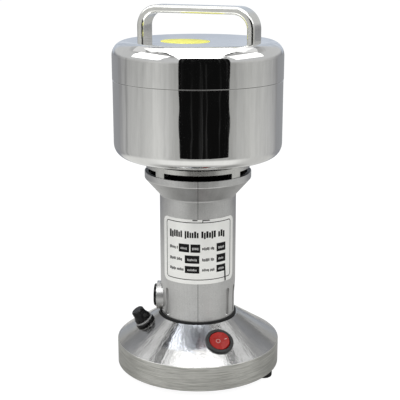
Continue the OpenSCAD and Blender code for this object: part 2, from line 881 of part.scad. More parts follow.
module fuse_holder_nut() {
    color("dimgray") on_cone(fuse_azimuth, fuse_place_r)
        translate([0, 0, -base_wall - cone_sag(fuse_nut_r, fuse_place_r) - seat_gap - fuse_nut_h])
            difference() {
                cylinder(r = fuse_nut_r, h = fuse_nut_h, $fn = 6);
                translate([0, 0, -over]) cylinder(r = fuse_body_r + seat_gap, h = fuse_nut_h + 2 * over);
            }
}

module fuse() {
    color("silver") on_cone(fuse_azimuth, fuse_place_r)
        translate([0, 0, fuse_cap_z - fuse_l]) {
            cylinder(r = fuse_r, h = fuse_end_l, $fn = 48);
            translate([0, 0, fuse_end_l])
                cylinder(r = fuse_r * fuse_glass_share, h = fuse_l - 2 * fuse_end_l, $fn = 48);
            translate([0, 0, fuse_l - fuse_end_l]) cylinder(r = fuse_r, h = fuse_end_l, $fn = 48);
        }
}

module fuse_cap() {
    tip_edge = fuse_tip_r * cap_tip_share;
    color("black") on_cone(fuse_azimuth, fuse_place_r) translate([0, 0, fuse_cap_z])
        difference() {
            rotate_extrude()
                polygon([
                    [0, -fuse_spigot_l], [fuse_spigot_r, -fuse_spigot_l], [fuse_spigot_r, 0],
                    [fuse_cap_r, 0], [fuse_cap_r, fuse_cap_h * cap_foot_share],
                    [fuse_tip_r * cap_shoulder_r_share, fuse_cap_h * cap_shoulder_share],
                    [fuse_tip_r, fuse_cap_h - tip_edge],
                    [fuse_tip_r - tip_edge, fuse_cap_h], [0, fuse_cap_h]
                ]);
            translate([0, 0, -fuse_spigot_l - over])
                cylinder(r = fuse_r + move_gap, h = fuse_spigot_l + over + move_gap);
            for (i = [0:cap_groove_count - 1])
                rotate([0, 0, 360 * i / cap_groove_count])
                    translate([fuse_cap_r, 0, -over])
                        cylinder(r = cap_groove_r, h = fuse_cap_h * cap_groove_share + over, $fn = 24);
        }
}

module column_gasket() {
    color("black") translate([0, 0, base_top_z])
        ring(casing_bore_r - casing_wall, foot_column_r + gasket_reach, column_gasket_t);
}

module base_screws() {
    screw_l = base_wall + column_gasket_t + casing_floor_t + base_boss_h * base_screw_share;
    color("silver")
        for (azimuth = post_azimuths)
            at_azimuth(azimuth)
                translate([0, -base_screw_place_r, base_top_z - base_wall])
                    mirror([0, 0, 1]) pan_screw(screw_r, screw_l);
}

// Outline of the casing's outer surface, from the foot to the lip
function casing_outer() = concat(
    [[foot_column_r, column_z]],
    column_ease(),
    eased([column_r, ease_z1], [column_top_r, flare_z], [lip_r, lip_z], lower_crease_r),
    eased([column_top_r, flare_z], [lip_r, lip_z], [lip_r, casing_top_z], crease_r),
    [[lip_r, casing_top_z]]
);

// Half of the casing, on the left for side = -1 and on the right for side = 1
module casing_half(side) {
    difference() {
        union() {
            rotate([0, 0, -90 * side])
                rotate_extrude(angle = 180)
                    polygon(concat(
                        [[cup_hole_r, cup_z], [cup_r, cup_z], [cup_r, column_z]],
                        casing_outer(),
                        [
                            [lip_r - lip_wall, casing_top_z], [lip_r - lip_wall, lip_z + casing_wall / 2],
                            [casing_bore_r, flare_z + casing_wall / 2], [casing_bore_r, casing_floor_z],
                            [lower_bearing_r + seat_gap, casing_floor_z],
                            [lower_bearing_r + seat_gap, cup_z + cup_lip_t], [cup_hole_r, cup_z + cup_lip_t]
                        ]
                    ));
            intersection() {
                rotate([0, 0, -90 * side])
                    rotate_extrude(angle = 180)
                        polygon(concat([[0, column_z]], casing_outer(), [[0, casing_top_z]]));
                casing_bosses(side);
            }
        }
        casing_holes();
    }
}

// Screw bosses inside one half of the casing
module casing_bosses(side) {
    for (azimuth = post_azimuths)
        at_azimuth(azimuth) {
            translate([0, -base_screw_place_r, column_z + casing_floor_t / 2])
                cylinder(r = base_boss_r, h = casing_floor_t / 2 + base_boss_h);
            translate([0, -collar_screw_place_r, casing_top_z - lip_boss_h])
                cylinder(r = lip_boss_r, h = lip_boss_h);
        }
    for (z = side_screw_zs)
        translate([0, side_screw_y, z])
            rotate([0, 90, 0]) cylinder(r = side_boss_r, h = 2 * casing_bore_r, center = true);
}

// Every hole and flute of the casing
module casing_holes() {
    for (azimuth = post_azimuths)
        at_azimuth(azimuth) {
            translate([0, -base_screw_place_r, column_z - over])
                cylinder(r = screw_r + screw_gap, h = casing_floor_t + base_boss_h);
            translate([0, -collar_screw_place_r, casing_top_z - lip_boss_h * lip_pilot_share])
                cylinder(r = screw_r + screw_gap, h = lip_boss_h);
        }
    for (azimuth = [0, 90, 180, 270])
        at_azimuth(azimuth)
            translate([0, -air_hole_place_r, column_z - over])
                cylinder(r = air_hole_r, h = casing_floor_t + 2 * over);
    for (azimuth = flute_azimuths)
        at_azimuth(azimuth)
            translate([0, -foot_column_r + flute_depth, flute_z])
                rotate([90, 0, 0])
                    linear_extrude(flute_depth + column_step + over) slot_outline(flute_w, flute_h);
    for (z = side_screw_zs) {
        translate([0, side_screw_y, z])
            rotate([0, 90, 0])
                cylinder(r = screw_r + screw_gap, h = 2 * (side_reach_x + over), center = true, $fn = 48);
        translate([-side_seat_x, side_screw_y, z])
            rotate([0, -90, 0])
                cylinder(r = screw_r * head_r_share + 2 * screw_gap, h = foot_column_r, $fn = 48);
        translate([-side_seat_x - over, side_screw_y, z])
            rotate([0, 90, 0])
                cylinder(r = screw_r + screw_gap, h = side_seat_x, $fn = 48);
    }
}

module casing_left() {
    color("darkgray") difference() {
        union() {
            casing_half(-1);
            along_radius(boss_azimuth, brush_z)
                translate([0, 0, pad_in_r])
                    cylinder(r = boss_r, h = boss_reach - pad_in_r);
        }
        along_radius(boss_azimuth, brush_z) {
            translate([0, 0, pad_in_r - over])
                cylinder(r = holder_r + seat_gap, h = boss_reach - pad_in_r + 2 * over);
            translate([0, 0, cap_seat_r]) cylinder(r = brush_cap_r + seat_gap, h = boss_reach);
        }
    }
}

module casing_right() {
    color("darkgray") difference() {
        union() {
            casing_half(1);
            along_radius(boss_azimuth + 180, brush_z)
                translate([0, 0, pad_in_r])
                    cylinder(r = pad_r, h = casing_bore_r - pad_in_r + casing_wall * pad_sink_share);
        }
        along_radius(boss_azimuth + 180, brush_z)
            translate([0, 0, pad_in_r - over])
                cylinder(r = holder_r + seat_gap, h = holder_out_r - pad_in_r + over + seat_gap);
    }
}

module casing_screws() {
    color("silver")
        for (z = side_screw_zs)
            translate([-side_seat_x, side_screw_y, z])
                rotate([0, -90, 0]) pan_screw(screw_r, side_seat_x + side_reach_x);
}

module rating_plate() {
    edge_angle = plate_corner_r / column_r * 180 / PI;
    color("whitesmoke") difference() {
        rotate([0, 0, plate_azimuth - 90 - plate_angle / 2])
            rotate_extrude(angle = plate_angle)
                translate([glue_t, 0])
                    polygon([
                        [column_at(plate_z0), plate_z0], [column_at(plate_z0) + plate_t, plate_z0],
                        [column_at(plate_z1) + plate_t, plate_z1], [column_at(plate_z1), plate_z1]
                    ]);
        for (side = [-1, 1], level = [0, 1])
            along_radius(plate_azimuth + side * (plate_angle / 2 - edge_angle),
                         level == 0 ? plate_z0 + plate_corner_r : plate_z1 - plate_corner_r)
                translate([0, 0, column_r - over])
                    linear_extrude(column_draft + plate_t + 2 * over)
                        difference() {
                            translate([side > 0 ? 0 : -plate_corner_r - over,
                                       level == 0 ? -plate_corner_r - over : 0])
                                square(plate_corner_r + over);
                            circle(r = plate_corner_r * corner_ease_share);
                        }
    }
}

module lower_bearing() {
    color("silver") translate([0, 0, cup_z + cup_lip_t])
        bearing(spigot_r + run_gap, lower_bearing_r, lower_bearing_h);
}

module upper_bearing() {
    color("silver") translate([0, 0, upper_bearing_z])
        bearing(shaft_r + run_gap, upper_bearing_r, upper_bearing_h);
}

module shaft() {
    tip = spigot_r * shaft_tip_share;
    color("silver") rotate_extrude()
        polygon([
            [0, shaft_z], [spigot_r - tip, shaft_z], [spigot_r, shaft_z + tip], [spigot_r, shoulder_z],
            [shaft_r, shoulder_z], [shaft_r, flange_z], [flange_r, flange_z],
            [flange_r, flange_z + flange_t], [spigot_r, flange_z + flange_t],
            [spigot_r, shaft_end_z - tip], [spigot_r - tip, shaft_end_z], [0, shaft_end_z]
        ]);
}

module armature_core() {
    color("dimgray") translate([0, 0, core_z])
        linear_extrude(core_l)
            difference() {
                circle(r = core_r);
                circle(r = shaft_r + seat_gap);
                for (i = [0:core_slot_count - 1])
                    rotate(360 * i / core_slot_count) {
                        translate([core_slot_place_r, 0]) circle(r = core_slot_r, $fn = 32);
                        translate([core_slot_place_r, -core_slot_gap / 2]) square([core_r, core_slot_gap]);
                    }
            }
}

module armature_winding() {
    color("peru") {
        for (level = [0, 1])
            translate([0, 0, core_z + level * core_l]) mirror([0, 0, 1 - level])
                rotate_extrude()
                    polygon(concat(
                        [[shaft_r + seat_gap, 0], [head_out_r, 0]],
                        [for (i = [0:6]) [
                            head_out_r - head_edge_r + head_edge_r * cos(i * 15),
                            head_l - head_edge_r + head_edge_r * sin(i * 15)
                        ]],
                        [[shaft_r + seat_gap, head_l]]
                    ));
        for (i = [0:core_slot_count - 1])
            rotate([0, 0, 360 * i / core_slot_count])
                translate([core_slot_place_r, 0, core_z - seat_gap])
                    cylinder(r = core_slot_r - seat_gap, h = core_l + 2 * seat_gap, $fn = 32);
    }
}

module commutator() {
    color("chocolate") translate([0, 0, commutator_z])
        difference() {
            union() {
                cylinder(r = commutator_r, h = commutator_l);
                translate([0, 0, commutator_l]) cylinder(r = riser_r, h = riser_h);
            }
            translate([0, 0, -over]) cylinder(r = shaft_r + seat_gap, h = commutator_l + riser_h + 2 * over);
            for (i = [0:commutator_bars - 1])
                rotate([0, 0, 360 * i / commutator_bars])
                    translate([commutator_r - bar_depth, -bar_gap / 2, -over])
                        cube([riser_r, bar_gap, commutator_l + riser_h + 2 * over]);
        }
}

// One curved vane of the fan, seen from above
module vane_outline() {
    steps = 8;
    function vane_point(s, lag) =
        let (r = vane_in_r + (fan_r - vane_t - vane_in_r) * s, q = -vane_sweep * s * s + lag / r * 180 / PI)
        [r * cos(q), r * sin(q)];
    polygon(concat(
        [for (i = [0:steps]) vane_point(i / steps, 0)],
        [for (i = [steps:-1:0]) vane_point(i / steps, vane_t)]
    ));
}

module fan() {
    color("lightgray") translate([0, 0, fan_z]) {
        ring(shaft_r + seat_gap, fan_hub_r, fan_hub_h);
        ring(fan_hub_r - seat_gap, fan_r, fan_disc_t);
        for (i = [0:vane_count - 1])
            rotate([0, 0, 360 * i / vane_count])
                translate([0, 0, fan_disc_t / 2]) linear_extrude(vane_h + fan_disc_t / 2) vane_outline();
    }
}

module stator_core() {
    color("gray") translate([0, 0, stator_z])
        difference() {
            ring(stator_bore_r, stator_r, stator_l);
            for (azimuth = [90, 270])
                translate([0, 0, -over])
                    sector(stator_bore_r - over, stator_r - yoke_w, stator_l + 2 * over,
                           180 - 2 * pole_angle, azimuth);
        }
}

module field_coils() {
    leg_angle = coil_angle - pole_angle - 4;
    color("sienna")
        for (pole = [0, 180]) {
            for (level = [0, 1])
                translate([0, 0, stator_z + level * stator_l]) mirror([0, 0, 1 - level])
                    rotate([0, 0, pole - 90 - coil_angle])
                        rotate_extrude(angle = 2 * coil_angle)
                            polygon([
                                [coil_in_r, 0], [coil_out_r, 0], [coil_out_r, coil_head_h - coil_edge_r],
                                [coil_out_r - coil_edge_r, coil_head_h],
                                [coil_in_r + coil_edge_r, coil_head_h],
                                [coil_in_r, coil_head_h - coil_edge_r]
                            ]);
            for (side = [-1, 1])
                translate([0, 0, stator_z - coil_edge_r])
                    sector(coil_in_r + seat_gap, coil_out_r - seat_gap, stator_l + 2 * coil_edge_r,
                           leg_angle, pole + side * (coil_angle - leg_angle / 2 - 1));
        }
}

module brush_holders() {
    slot_w = brush_w + 2 * seat_gap;
    slot_deep = brush_deep + 2 * seat_gap;
    color("saddlebrown")
        for (side = [0, 1])
            along_radius(boss_azimuth + 180 * side, brush_z)
                difference() {
                    translate([0, 0, holder_in_r])
                        cylinder(r = holder_r, h = (side == 0 ? cap_seat_r : holder_out_r) - holder_in_r);
                    translate([-slot_w / 2, -slot_deep / 2, holder_in_r - over])
                        cube([slot_w, slot_deep,
                              (side == 0 ? boss_reach : spring_out_r) - holder_in_r + over]);
                }
}

module carbon_brushes() {
    color([0.2, 0.2, 0.2])
        for (side = [0, 1])
            along_radius(boss_azimuth + 180 * side, brush_z)
                translate([-brush_w / 2, -brush_deep / 2, brush_in_r])
                    cube([brush_w, brush_deep, brush_l]);
}

// Round wire swept along a coil
module coil_spring(coil_r, wire_r, height, turns) {
    sides = 6;
    steps = 12;
    path = coil_rings(coil_r, height, turns, steps);
    last = len(path) - 1;
    points = [
        for (i = [0:last], j = [0:sides - 1])
            let (q = 360 * i / steps, a = 360 * j / sides)
            path[i] + wire_r * [cos(a) * cos(q), cos(a) * sin(q), sin(a)]
    ];
    sides_faces = [
        for (i = [0:last - 1], j = [0:sides - 1])
            let (k = (j + 1) % sides)
            for (face = [
                [i * sides + j, (i + 1) * sides + k, i * sides + k],
                [i * sides + j, (i + 1) * sides + j, (i + 1) * sides + k]
            ]) face
    ];
    ends = [[for (j = [0:sides - 1]) j], [for (j = [sides - 1:-1:0]) last * sides + j]];
    polyhedron(points, concat(sides_faces, ends));
}

module brush_springs() {
    color("silver")
        for (side = [0, 1])
            along_radius(boss_azimuth + 180 * side, brush_z)
                translate([0, 0, spring_in_r + spring_wire_r])
                    coil_spring(spring_coil_r, spring_wire_r,
                                spring_out_r - spring_in_r - 2 * spring_wire_r, spring_turns);
}

module brush_cap() {
    cap_slot_l = 2 * brush_cap_r * cap_slot_share;
    color("black") along_radius(boss_azimuth, brush_z)
        difference() {
            union() {
                rotate_extrude()
                    polygon([
                        [0, cap_seat_r], [brush_cap_r, cap_seat_r],
                        [brush_cap_r, boss_reach + brush_cap_out * (1 - brush_cap_edge_share)],
                        [brush_cap_r - brush_cap_out * brush_cap_edge_share, boss_reach + brush_cap_out],
                        [0, boss_reach + brush_cap_out]
                    ]);
                translate([0, 0, spring_out_r])
                    cylinder(r = cap_plug_r, h = cap_seat_r - spring_out_r + seat_gap, $fn = 48);
            }
            translate([-cap_slot_l / 2, -cap_slot_w / 2, boss_reach + brush_cap_out - cap_slot_depth])
                cube([cap_slot_l, cap_slot_w, cap_slot_depth + over]);
        }
}

module vent_collar() {
    color("darkgray") difference() {
        rotate_extrude()
            polygon([
                [hub_in_r, hub_lip_z], [upper_bearing_r + seat_gap, hub_lip_z],
                [upper_bearing_r + seat_gap, upper_bearing_z - hub_overhang],
                [hub_r, upper_bearing_z - hub_overhang],
                [hub_r, collar_plate_z], [collar_in_r, collar_plate_z], [collar_in_r, casing_top_z],
                [collar_r, casing_top_z], [collar_r, bowl_z], [seal_boss_r, bowl_z],
                [seal_boss_r, bowl_z + seal_boss_h], [seal_r + seat_gap, bowl_z + seal_boss_h],
                [seal_r + seat_gap, seal_z], [hub_in_r, seal_z]
            ]);
        for (azimuth = [0, 90, 180, 270])
            translate([0, 0, casing_top_z - over])
                sector(collar_in_r - over, collar_r + over, window_h + over, slot_angle, azimuth);
        for (azimuth = [0, 180]) {
            translate([0, 0, collar_plate_z - slot_h])
                sector(collar_in_r - over, collar_r + over, slot_h, slot_angle, azimuth);
            translate([0, 0, collar_z - over])
                sector(collar_in_r - over, collar_r - bridge_t, collar_plate_z - collar_z + over,
                       slot_angle, azimuth);
        }
        for (azimuth = post_azimuths)
            at_azimuth(azimuth) {
                translate([0, -collar_screw_place_r, casing_top_z - over])
                    cylinder(r = screw_r + screw_gap, h = window_h + collar_ring_h + 2 * over);
                translate([0, -collar_screw_place_r, bowl_z - collar_ring_h * head_sink_share])
                    cylinder(r = screw_r * head_r_share + 2 * screw_gap, h = collar_ring_h);
                translate([0, -bowl_screw_place_r, collar_plate_z - over])
                    cylinder(r = screw_r + screw_gap, h = collar_plate_t + 2 * over);
            }
    }
}

module collar_screws() {
    screw_l = collar_ring_h * (1 - head_sink_share) + window_h + lip_boss_h * lip_screw_share;
    color("silver")
        for (azimuth = post_azimuths)
            at_azimuth(azimuth)
                translate([0, -collar_screw_place_r, bowl_z - collar_ring_h * head_sink_share])
                    pan_screw(screw_r, screw_l);
}

module bowl() {
    in_r = bowl_r - sheet_t;
    a = bowl_r - bowl_flat_r;
    z = bowl_z + bowl_corner_h;
    color("lightgray") difference() {
        rotate_extrude()
            polygon(concat(
                [[neck_r, neck_top_z], [neck_r, seam_z], [bowl_r, seam_z]],
                quarter(bowl_flat_r, z, a, -bowl_corner_h, bowl_corner_power),
                [[bowl_hole_r, bowl_z], [bowl_hole_r, bowl_z + sheet_t]],
                backwards(quarter(bowl_flat_r, z, a - sheet_t, sheet_t - bowl_corner_h, bowl_corner_power)),
                [[in_r, seam_z - sheet_t], [neck_r - sheet_t, seam_z - sheet_t], [neck_r - sheet_t, neck_top_z]]
            ));
        for (azimuth = post_azimuths)
            at_azimuth(azimuth)
                translate([0, -bowl_screw_place_r, bowl_z - over])
                    cylinder(r = screw_r + screw_gap, h = sheet_t + 2 * over);
    }
}

module bowl_screws() {
    color("silver")
        for (azimuth = post_azimuths)
            at_azimuth(azimuth)
                translate([0, -bowl_screw_place_r, bowl_z + sheet_t])
                    pan_screw(screw_r, sheet_t + collar_plate_t + screw_r);
}

module shaft_seal() {
    lip_w = (seal_r - shaft_r) * seal_lip_share;
    color("black") rotate_extrude()
        polygon([
            [shaft_r + run_gap, seal_z], [seal_r, seal_z], [seal_r, bowl_z + seal_boss_h - seat_gap],
            [seal_r - lip_w, bowl_z + seal_boss_h - seat_gap],
            [seal_r - lip_w * 2, bowl_z + seal_boss_h - lip_w * 2],
            [shaft_r + run_gap, bowl_z + seal_boss_h - lip_w * 2]
        ]);
}

// Two-armed blade: the tips bend by an angle, up above zero
module blade(bend) {
    bend_r = tip_r * bend_share;
    end_r = tip_r + over;
    end_z = (end_r - bend_r) * tan(bend);
    top_bend_r = bend_r - blade_t * tan(bend / 2);
    difference() {
        intersection() {
            translate([0, 0, -tip_r / 2]) linear_extrude(tip_r) blade_outline();
            rotate([90, 0, 0])
                linear_extrude(2 * blade_root_w, center = true)
                    polygon([
                        [-end_r, end_z], [-bend_r, 0], [bend_r, 0], [end_r, end_z],
                        [end_r, end_z + blade_t / cos(bend)], [top_bend_r, blade_t],
                        [-top_bend_r, blade_t], [-end_r, end_z + blade_t / cos(bend)]
                    ]);
        }
        translate([0, 0, -over]) cylinder(r = spigot_r + seat_gap, h = blade_t + 2 * over);
        for (arm = [0, 180])
            rotate([0, 0, arm]) {
                edge_cut(blade_hub_r, bend_r - blade_t, 0, 0);
                translate([bend_r, 0, 0])
                    rotate([0, -bend, 0])
                        edge_cut(blade_t / 2, (tip_r - bend_r) / cos(bend) + over, bend_share, bend);
            }
    }
}

// Blade seen from above
module blade_outline() {
    circle(r = blade_hub_r);
    for (arm = [0, 180])
        rotate(arm)
            polygon([
                [0, -blade_root_w / 2], [tip_r - tip_corner, -arm_half_w(1 - tip_corner / tip_r)],
                [tip_r, tip_corner - blade_tip_w / 2], [tip_r, blade_tip_w / 2], [0, blade_root_w / 2]
            ]);
}

// Half of the blade's width at a share of its length
function arm_half_w(share) = (blade_root_w + (blade_tip_w - blade_root_w) * share) / 2;

// Wedge that grinds the front edge of an arm sharp, between two distances along it
module edge_cut(from_x, to_x, start_share, bend) {
    slope = atan((blade_root_w - blade_tip_w) / 2 / tip_r * cos(bend));
    run = [bevel_w, edge_land - blade_t];
    foot = [0, edge_land];
    translate([0, arm_half_w(start_share), 0])
        rotate([0, 0, -slope])
            translate([from_x, 0, 0])
                rotate([90, 0, 90])
                    linear_extrude(to_x - from_x)
                        polygon([
                            foot + run * bevel_reach_share, foot + [bevel_w, 2 * blade_t],
                            foot - run * (1 + bevel_reach_share)
                        ]);
}

module lower_blade() {
    color("lightgray") translate([0, 0, lower_blade_z]) blade(-lower_bend);
}

module blade_spacer() {
    color("silver") translate([0, 0, spacer_z]) ring(spigot_r + seat_gap, flange_r, blade_spacing);
}

module upper_blade() {
    color("lightgray") translate([0, 0, upper_blade_z]) rotate([0, 0, 90]) blade(upper_bend);
}

module blade_washer() {
    color("silver") translate([0, 0, washer_z]) ring(spigot_r + seat_gap, flange_r + washer_t, washer_t);
}

module blade_nut() {
    color("silver") translate([0, 0, nut_z])
        difference() {
            union() {
                cylinder(r = nut_flat / 2 / cos(30), h = nut_h, $fn = 6);
                translate([0, 0, nut_h]) intersection() {
                    translate([0, 0, -nut_flat / 2 + nut_dome_h]) sphere(r = nut_flat / 2);
                    cylinder(r = nut_flat, h = nut_dome_h + over);
                }
            }
            translate([0, 0, -over]) cylinder(r = spigot_r + seat_gap, h = nut_h + over + seat_gap);
        }
}

module lid_shell() {
    z = lid_top_z - lid_shoulder_h;
    a = lid_r - lid_flat_r;
    color("lightgray") difference() {
        rotate_extrude()
            polygon(concat(
                [[lid_r - sheet_t, lid_z], [lid_r, lid_z]],
                quarter(lid_flat_r, z, a, lid_shoulder_h, lid_shoulder_power),
                [[0, lid_top_z], [0, lid_top_z - sheet_t]],
                backwards(quarter(lid_flat_r, z, a - sheet_t, lid_shoulder_h - sheet_t, lid_shoulder_power))
            ));
        handle_places()
            translate([0, 0, lid_top_z - sheet_t - over])
                cylinder(r = small_screw_r + screw_gap, h = sheet_t + 2 * over, $fn = 48);
    }
}

// Children at each foot of the handle
module handle_places() {
    for (side = [-1, 1])
        rotate([0, 0, -handle_turn]) translate([side * handle_foot_x, 0, 0]) children();
}

module lid_thread_ring() {
    color("lightgray") rotate_extrude()
        polygon([
            [ring_in_r, ring_z], [ring_r, ring_z], [ring_r, ring_flange_z + ring_flange_t],
            [ring_flange_in_r, ring_flange_z + ring_flange_t], [ring_flange_in_r, ring_flange_z],
            [ring_in_r, ring_flange_z]
        ]);
}

module lid_gasket() {
    color("black") translate([0, 0, lid_gasket_z]) ring(neck_r - lid_gasket_w, neck_r, lid_gasket_t);
}

// Section of the handle's bar: width along Y, thickness along X
module bar_outline() {
    square([handle_t - 2 * handle_edge_r, handle_w], center = true);
    square([handle_t, handle_w - 2 * handle_edge_r], center = true);
    for (i = [-1, 1], j = [-1, 1])
        translate([i * (handle_t / 2 - handle_edge_r), j * (handle_w / 2 - handle_edge_r)])
            circle(r = handle_edge_r, $fn = 32);
}

module handle() {
    bend_x = handle_span / 2 - handle_bend_r;
    bend_z = handle_h - handle_bend_r;
    color("lightgray") difference() {
        translate([0, 0, lid_top_z]) rotate([0, 0, -handle_turn]) {
            for (side = [0, 1])
                mirror([side, 0, 0]) {
                    translate([handle_foot_x, 0, 0]) linear_extrude(bend_z) bar_outline();
                    translate([bend_x, 0, bend_z])
                        rotate([90, 0, 0])
                            rotate_extrude(angle = 90)
                                translate([handle_bend_r - handle_t / 2, 0]) bar_outline();
                }
            translate([0, 0, handle_h - handle_t / 2])
                rotate([0, 90, 0])
                    linear_extrude(2 * bend_x, center = true) bar_outline();
        }
        handle_places()
            translate([0, 0, lid_top_z - over])
                cylinder(r = small_screw_r + screw_gap, h = handle_screw_l + over, $fn = 48);
    }
}

module handle_screws() {
    color("silver")
        handle_places()
            translate([0, 0, lid_top_z - sheet_t])
                mirror([0, 0, 1]) pan_screw(small_screw_r, handle_screw_l * handle_screw_share);
}

module lid_sticker() {
    color("yellow")
        translate([sticker_x_share * lid_flat_r, sticker_y_share * lid_flat_r, lid_top_z])
            rotate([0, 0, -handle_turn])
                linear_extrude(sticker_t)
                    polygon([for (i = [0:47]) [sticker_l / 2 * cos(i * 7.5), sticker_w / 2 * sin(i * 7.5)]]);
}

base_shell();
bottom_cover();
cover_screws();
feet();
cord_gland();
switch_housing();
rocker();
switch_terminals();
fuse_holder();
fuse_holder_ring();
fuse_holder_nut();
fuse();
fuse_cap();
column_gasket();
base_screws();
casing_left();
casing_right();
casing_screws();
rating_plate();
lower_bearing();
upper_bearing();
shaft();
armature_core();
armature_winding();
commutator();
fan();
stator_core();
field_coils();
brush_holders();
carbon_brushes();
brush_springs();
brush_cap();
vent_collar();
collar_screws();
bowl();
bowl_screws();
shaft_seal();
lower_blade();
blade_spacer();
upper_blade();
blade_washer();
blade_nut();
lid_shell();
lid_thread_ring();
lid_gasket();
handle();
handle_screws();
lid_sticker();
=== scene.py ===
# %% [markdown]
# # An electric spice grinder in polished steel and cast aluminium
# The model that comes in is exact in its sizes but bare. This lesson gives each piece its finish,
# spins the two mirror-like shells again with finer meshes, adds the print and the small marks, and
# lights it all as a photographer lights shiny metal: by placing what it mirrors.

# %% Load the model
import math
import random

import bmesh
import bpy
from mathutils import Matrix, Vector


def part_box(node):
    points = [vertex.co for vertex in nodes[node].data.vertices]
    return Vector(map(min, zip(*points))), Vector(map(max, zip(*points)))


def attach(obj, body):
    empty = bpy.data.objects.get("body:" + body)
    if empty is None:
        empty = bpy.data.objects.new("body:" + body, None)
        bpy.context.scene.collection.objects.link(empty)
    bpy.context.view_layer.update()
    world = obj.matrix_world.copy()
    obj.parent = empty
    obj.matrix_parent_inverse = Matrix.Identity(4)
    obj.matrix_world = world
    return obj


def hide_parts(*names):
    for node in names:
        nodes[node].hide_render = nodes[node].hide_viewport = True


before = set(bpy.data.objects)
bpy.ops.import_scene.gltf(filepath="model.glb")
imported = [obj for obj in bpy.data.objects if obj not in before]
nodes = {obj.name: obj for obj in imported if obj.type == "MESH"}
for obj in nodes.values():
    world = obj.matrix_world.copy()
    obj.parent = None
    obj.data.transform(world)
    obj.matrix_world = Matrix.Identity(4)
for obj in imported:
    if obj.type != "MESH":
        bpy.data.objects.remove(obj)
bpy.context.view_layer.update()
scene = bpy.context.scene
print("pieces in the model:", len(nodes))

# %% [markdown]
# ## The camera
# The photograph looks slightly down on the grinder with a long lens. The place, pitch and lens
# below were fitted to four ellipses: the lid, the seam, the column's lip and the base's rim. A
# fitted camera is better than one set by eye, because every outline then falls where it should.

# %% Camera
camera_height = 0.3483
camera_distance = 0.76936
camera_pitch = math.radians(14.74)
sensor_mm, lens_mm, lens_shift = 36.0, 85.66, 0.00515
camera_data = bpy.data.cameras.new("camera")
camera_data.sensor_width = sensor_mm
camera_data.lens = lens_mm
camera_data.shift_x = lens_shift
camera_data.dof.use_dof = False
camera = bpy.data.objects.new("camera", camera_data)
camera.location = (0.0, -camera_distance, camera_height)
camera.rotation_euler = (math.pi / 2 - camera_pitch, 0.0, 0.0)
scene.collection.objects.link(camera)
scene.camera = camera
scene.view_settings.view_transform = "Standard"
print("camera at", [round(v, 3) for v in camera.location])

# %% [markdown]
# ## Helpers for finishes
# Every finish is a small network of nodes. It could be wired by hand in the node editor, but then
# each finish would repeat the same steps. So a few calls do it: make a material, add a node with
# its inputs filled in, and join a pattern to bump, roughness or colour. The object's own
# coordinates are real metres here, so a scale of 1000 means one cell a millimetre.

# %% A new finish
def new_finish(name, color, metallic=0.0, roughness=0.5):
    finish = bpy.data.materials.new(name)
    finish.use_nodes = True
    surface = finish.node_tree.nodes["Principled BSDF"]
    surface.inputs["Base Color"].default_value = (*color, 1.0)
    surface.inputs["Metallic"].default_value = metallic
    surface.inputs["Roughness"].default_value = roughness
    return finish, finish.node_tree, surface


# %% A node with its inputs
def add(tree, kind, inputs=None, **settings):
    made = tree.nodes.new(kind)
    for key, value in settings.items():
        setattr(made, key, value)
    for key, value in (inputs or {}).items():
        if isinstance(value, bpy.types.NodeSocket):
            tree.links.new(value, made.inputs[key])
        else:
            made.inputs[key].default_value = value
    return made


# %% Sums
def add_math(tree, operation, first, second=0.0):
    return add(tree, "ShaderNodeMath", {0: first, 1: second}, operation=operation).outputs[0]


def times(tree, first, second):
    return add_math(tree, "MULTIPLY", first, second)


def blended(tree, first, second, share):
    # this share of the first, the rest of the second
    return add_math(tree, "ADD", times(tree, first, share), times(tree, second, 1 - share))


# %% Vectors
def split(tree, vector):
    return add(tree, "ShaderNodeSeparateXYZ", {0: vector}).outputs


def join(tree, x, y, z):
    return add(tree, "ShaderNodeCombineXYZ", {0: x, 1: y, 2: z}).outputs[0]


def scaled(tree, vector, by):
    return add(tree, "ShaderNodeVectorMath", {0: vector, 1: by}, operation="MULTIPLY").outputs[0]


# %% Places on the object
def metres(tree):
    return add(tree, "ShaderNodeTexCoord").outputs["Object"]


def axis_distance(tree, place):
    squares = add_math(tree, "ADD", times(tree, place[0], place[0]),
                       times(tree, place[1], place[1]))
    return add_math(tree, "SQRT", squares)


def axis_angle(tree, place):
    # radians from the front, positive to the right
    return add_math(tree, "ARCTAN2", place[0], times(tree, place[1], -1.0))


def around_axis(tree, cells):
    # cells of noise in a radian round the axis, in a metre outward and in a metre up
    place = split(tree, metres(tree))
    return join(tree, times(tree, axis_angle(tree, place), cells[0]),
                times(tree, axis_distance(tree, place), cells[1]),
                times(tree, place[2], cells[2]))


# %% Noise and ranges
noise_low, noise_high = 0.3, 0.7  # nearly all values of a noise lie between these


def noise(tree, where, scale=1.0, detail=3.0, roughness=0.5):
    inputs = {"Vector": where, "Scale": scale, "Detail": detail, "Roughness": roughness}
    return add(tree, "ShaderNodeTexNoise", inputs).outputs["Fac"]


def remap(tree, value, low, high, start=noise_low, end=noise_high, smooth=False):
    inputs = {"Value": value, "From Min": start, "From Max": end, "To Min": low, "To Max": high}
    kind = "SMOOTHSTEP" if smooth else "LINEAR"
    return add(tree, "ShaderNodeMapRange", inputs, interpolation_type=kind).outputs[0]


def rises(tree, value, start=noise_low, end=noise_high, smooth=False):
    return remap(tree, value, 0.0, 1.0, start, end, smooth)


def falls(tree, value, start, end, smooth=False):
    return remap(tree, value, 1.0, 0.0, start, end, smooth)


# %% Relief
def bump(tree, surface, height, depth, after=None):
    # depth in metres: the real height of the relief
    inputs = {"Height": height, "Distance": depth, "Strength": 1.0}
    if after is not None:
        inputs["Normal"] = after
    made = add(tree, "ShaderNodeBump", inputs).outputs[0]
    tree.links.new(made, surface.inputs["Normal"])
    return made


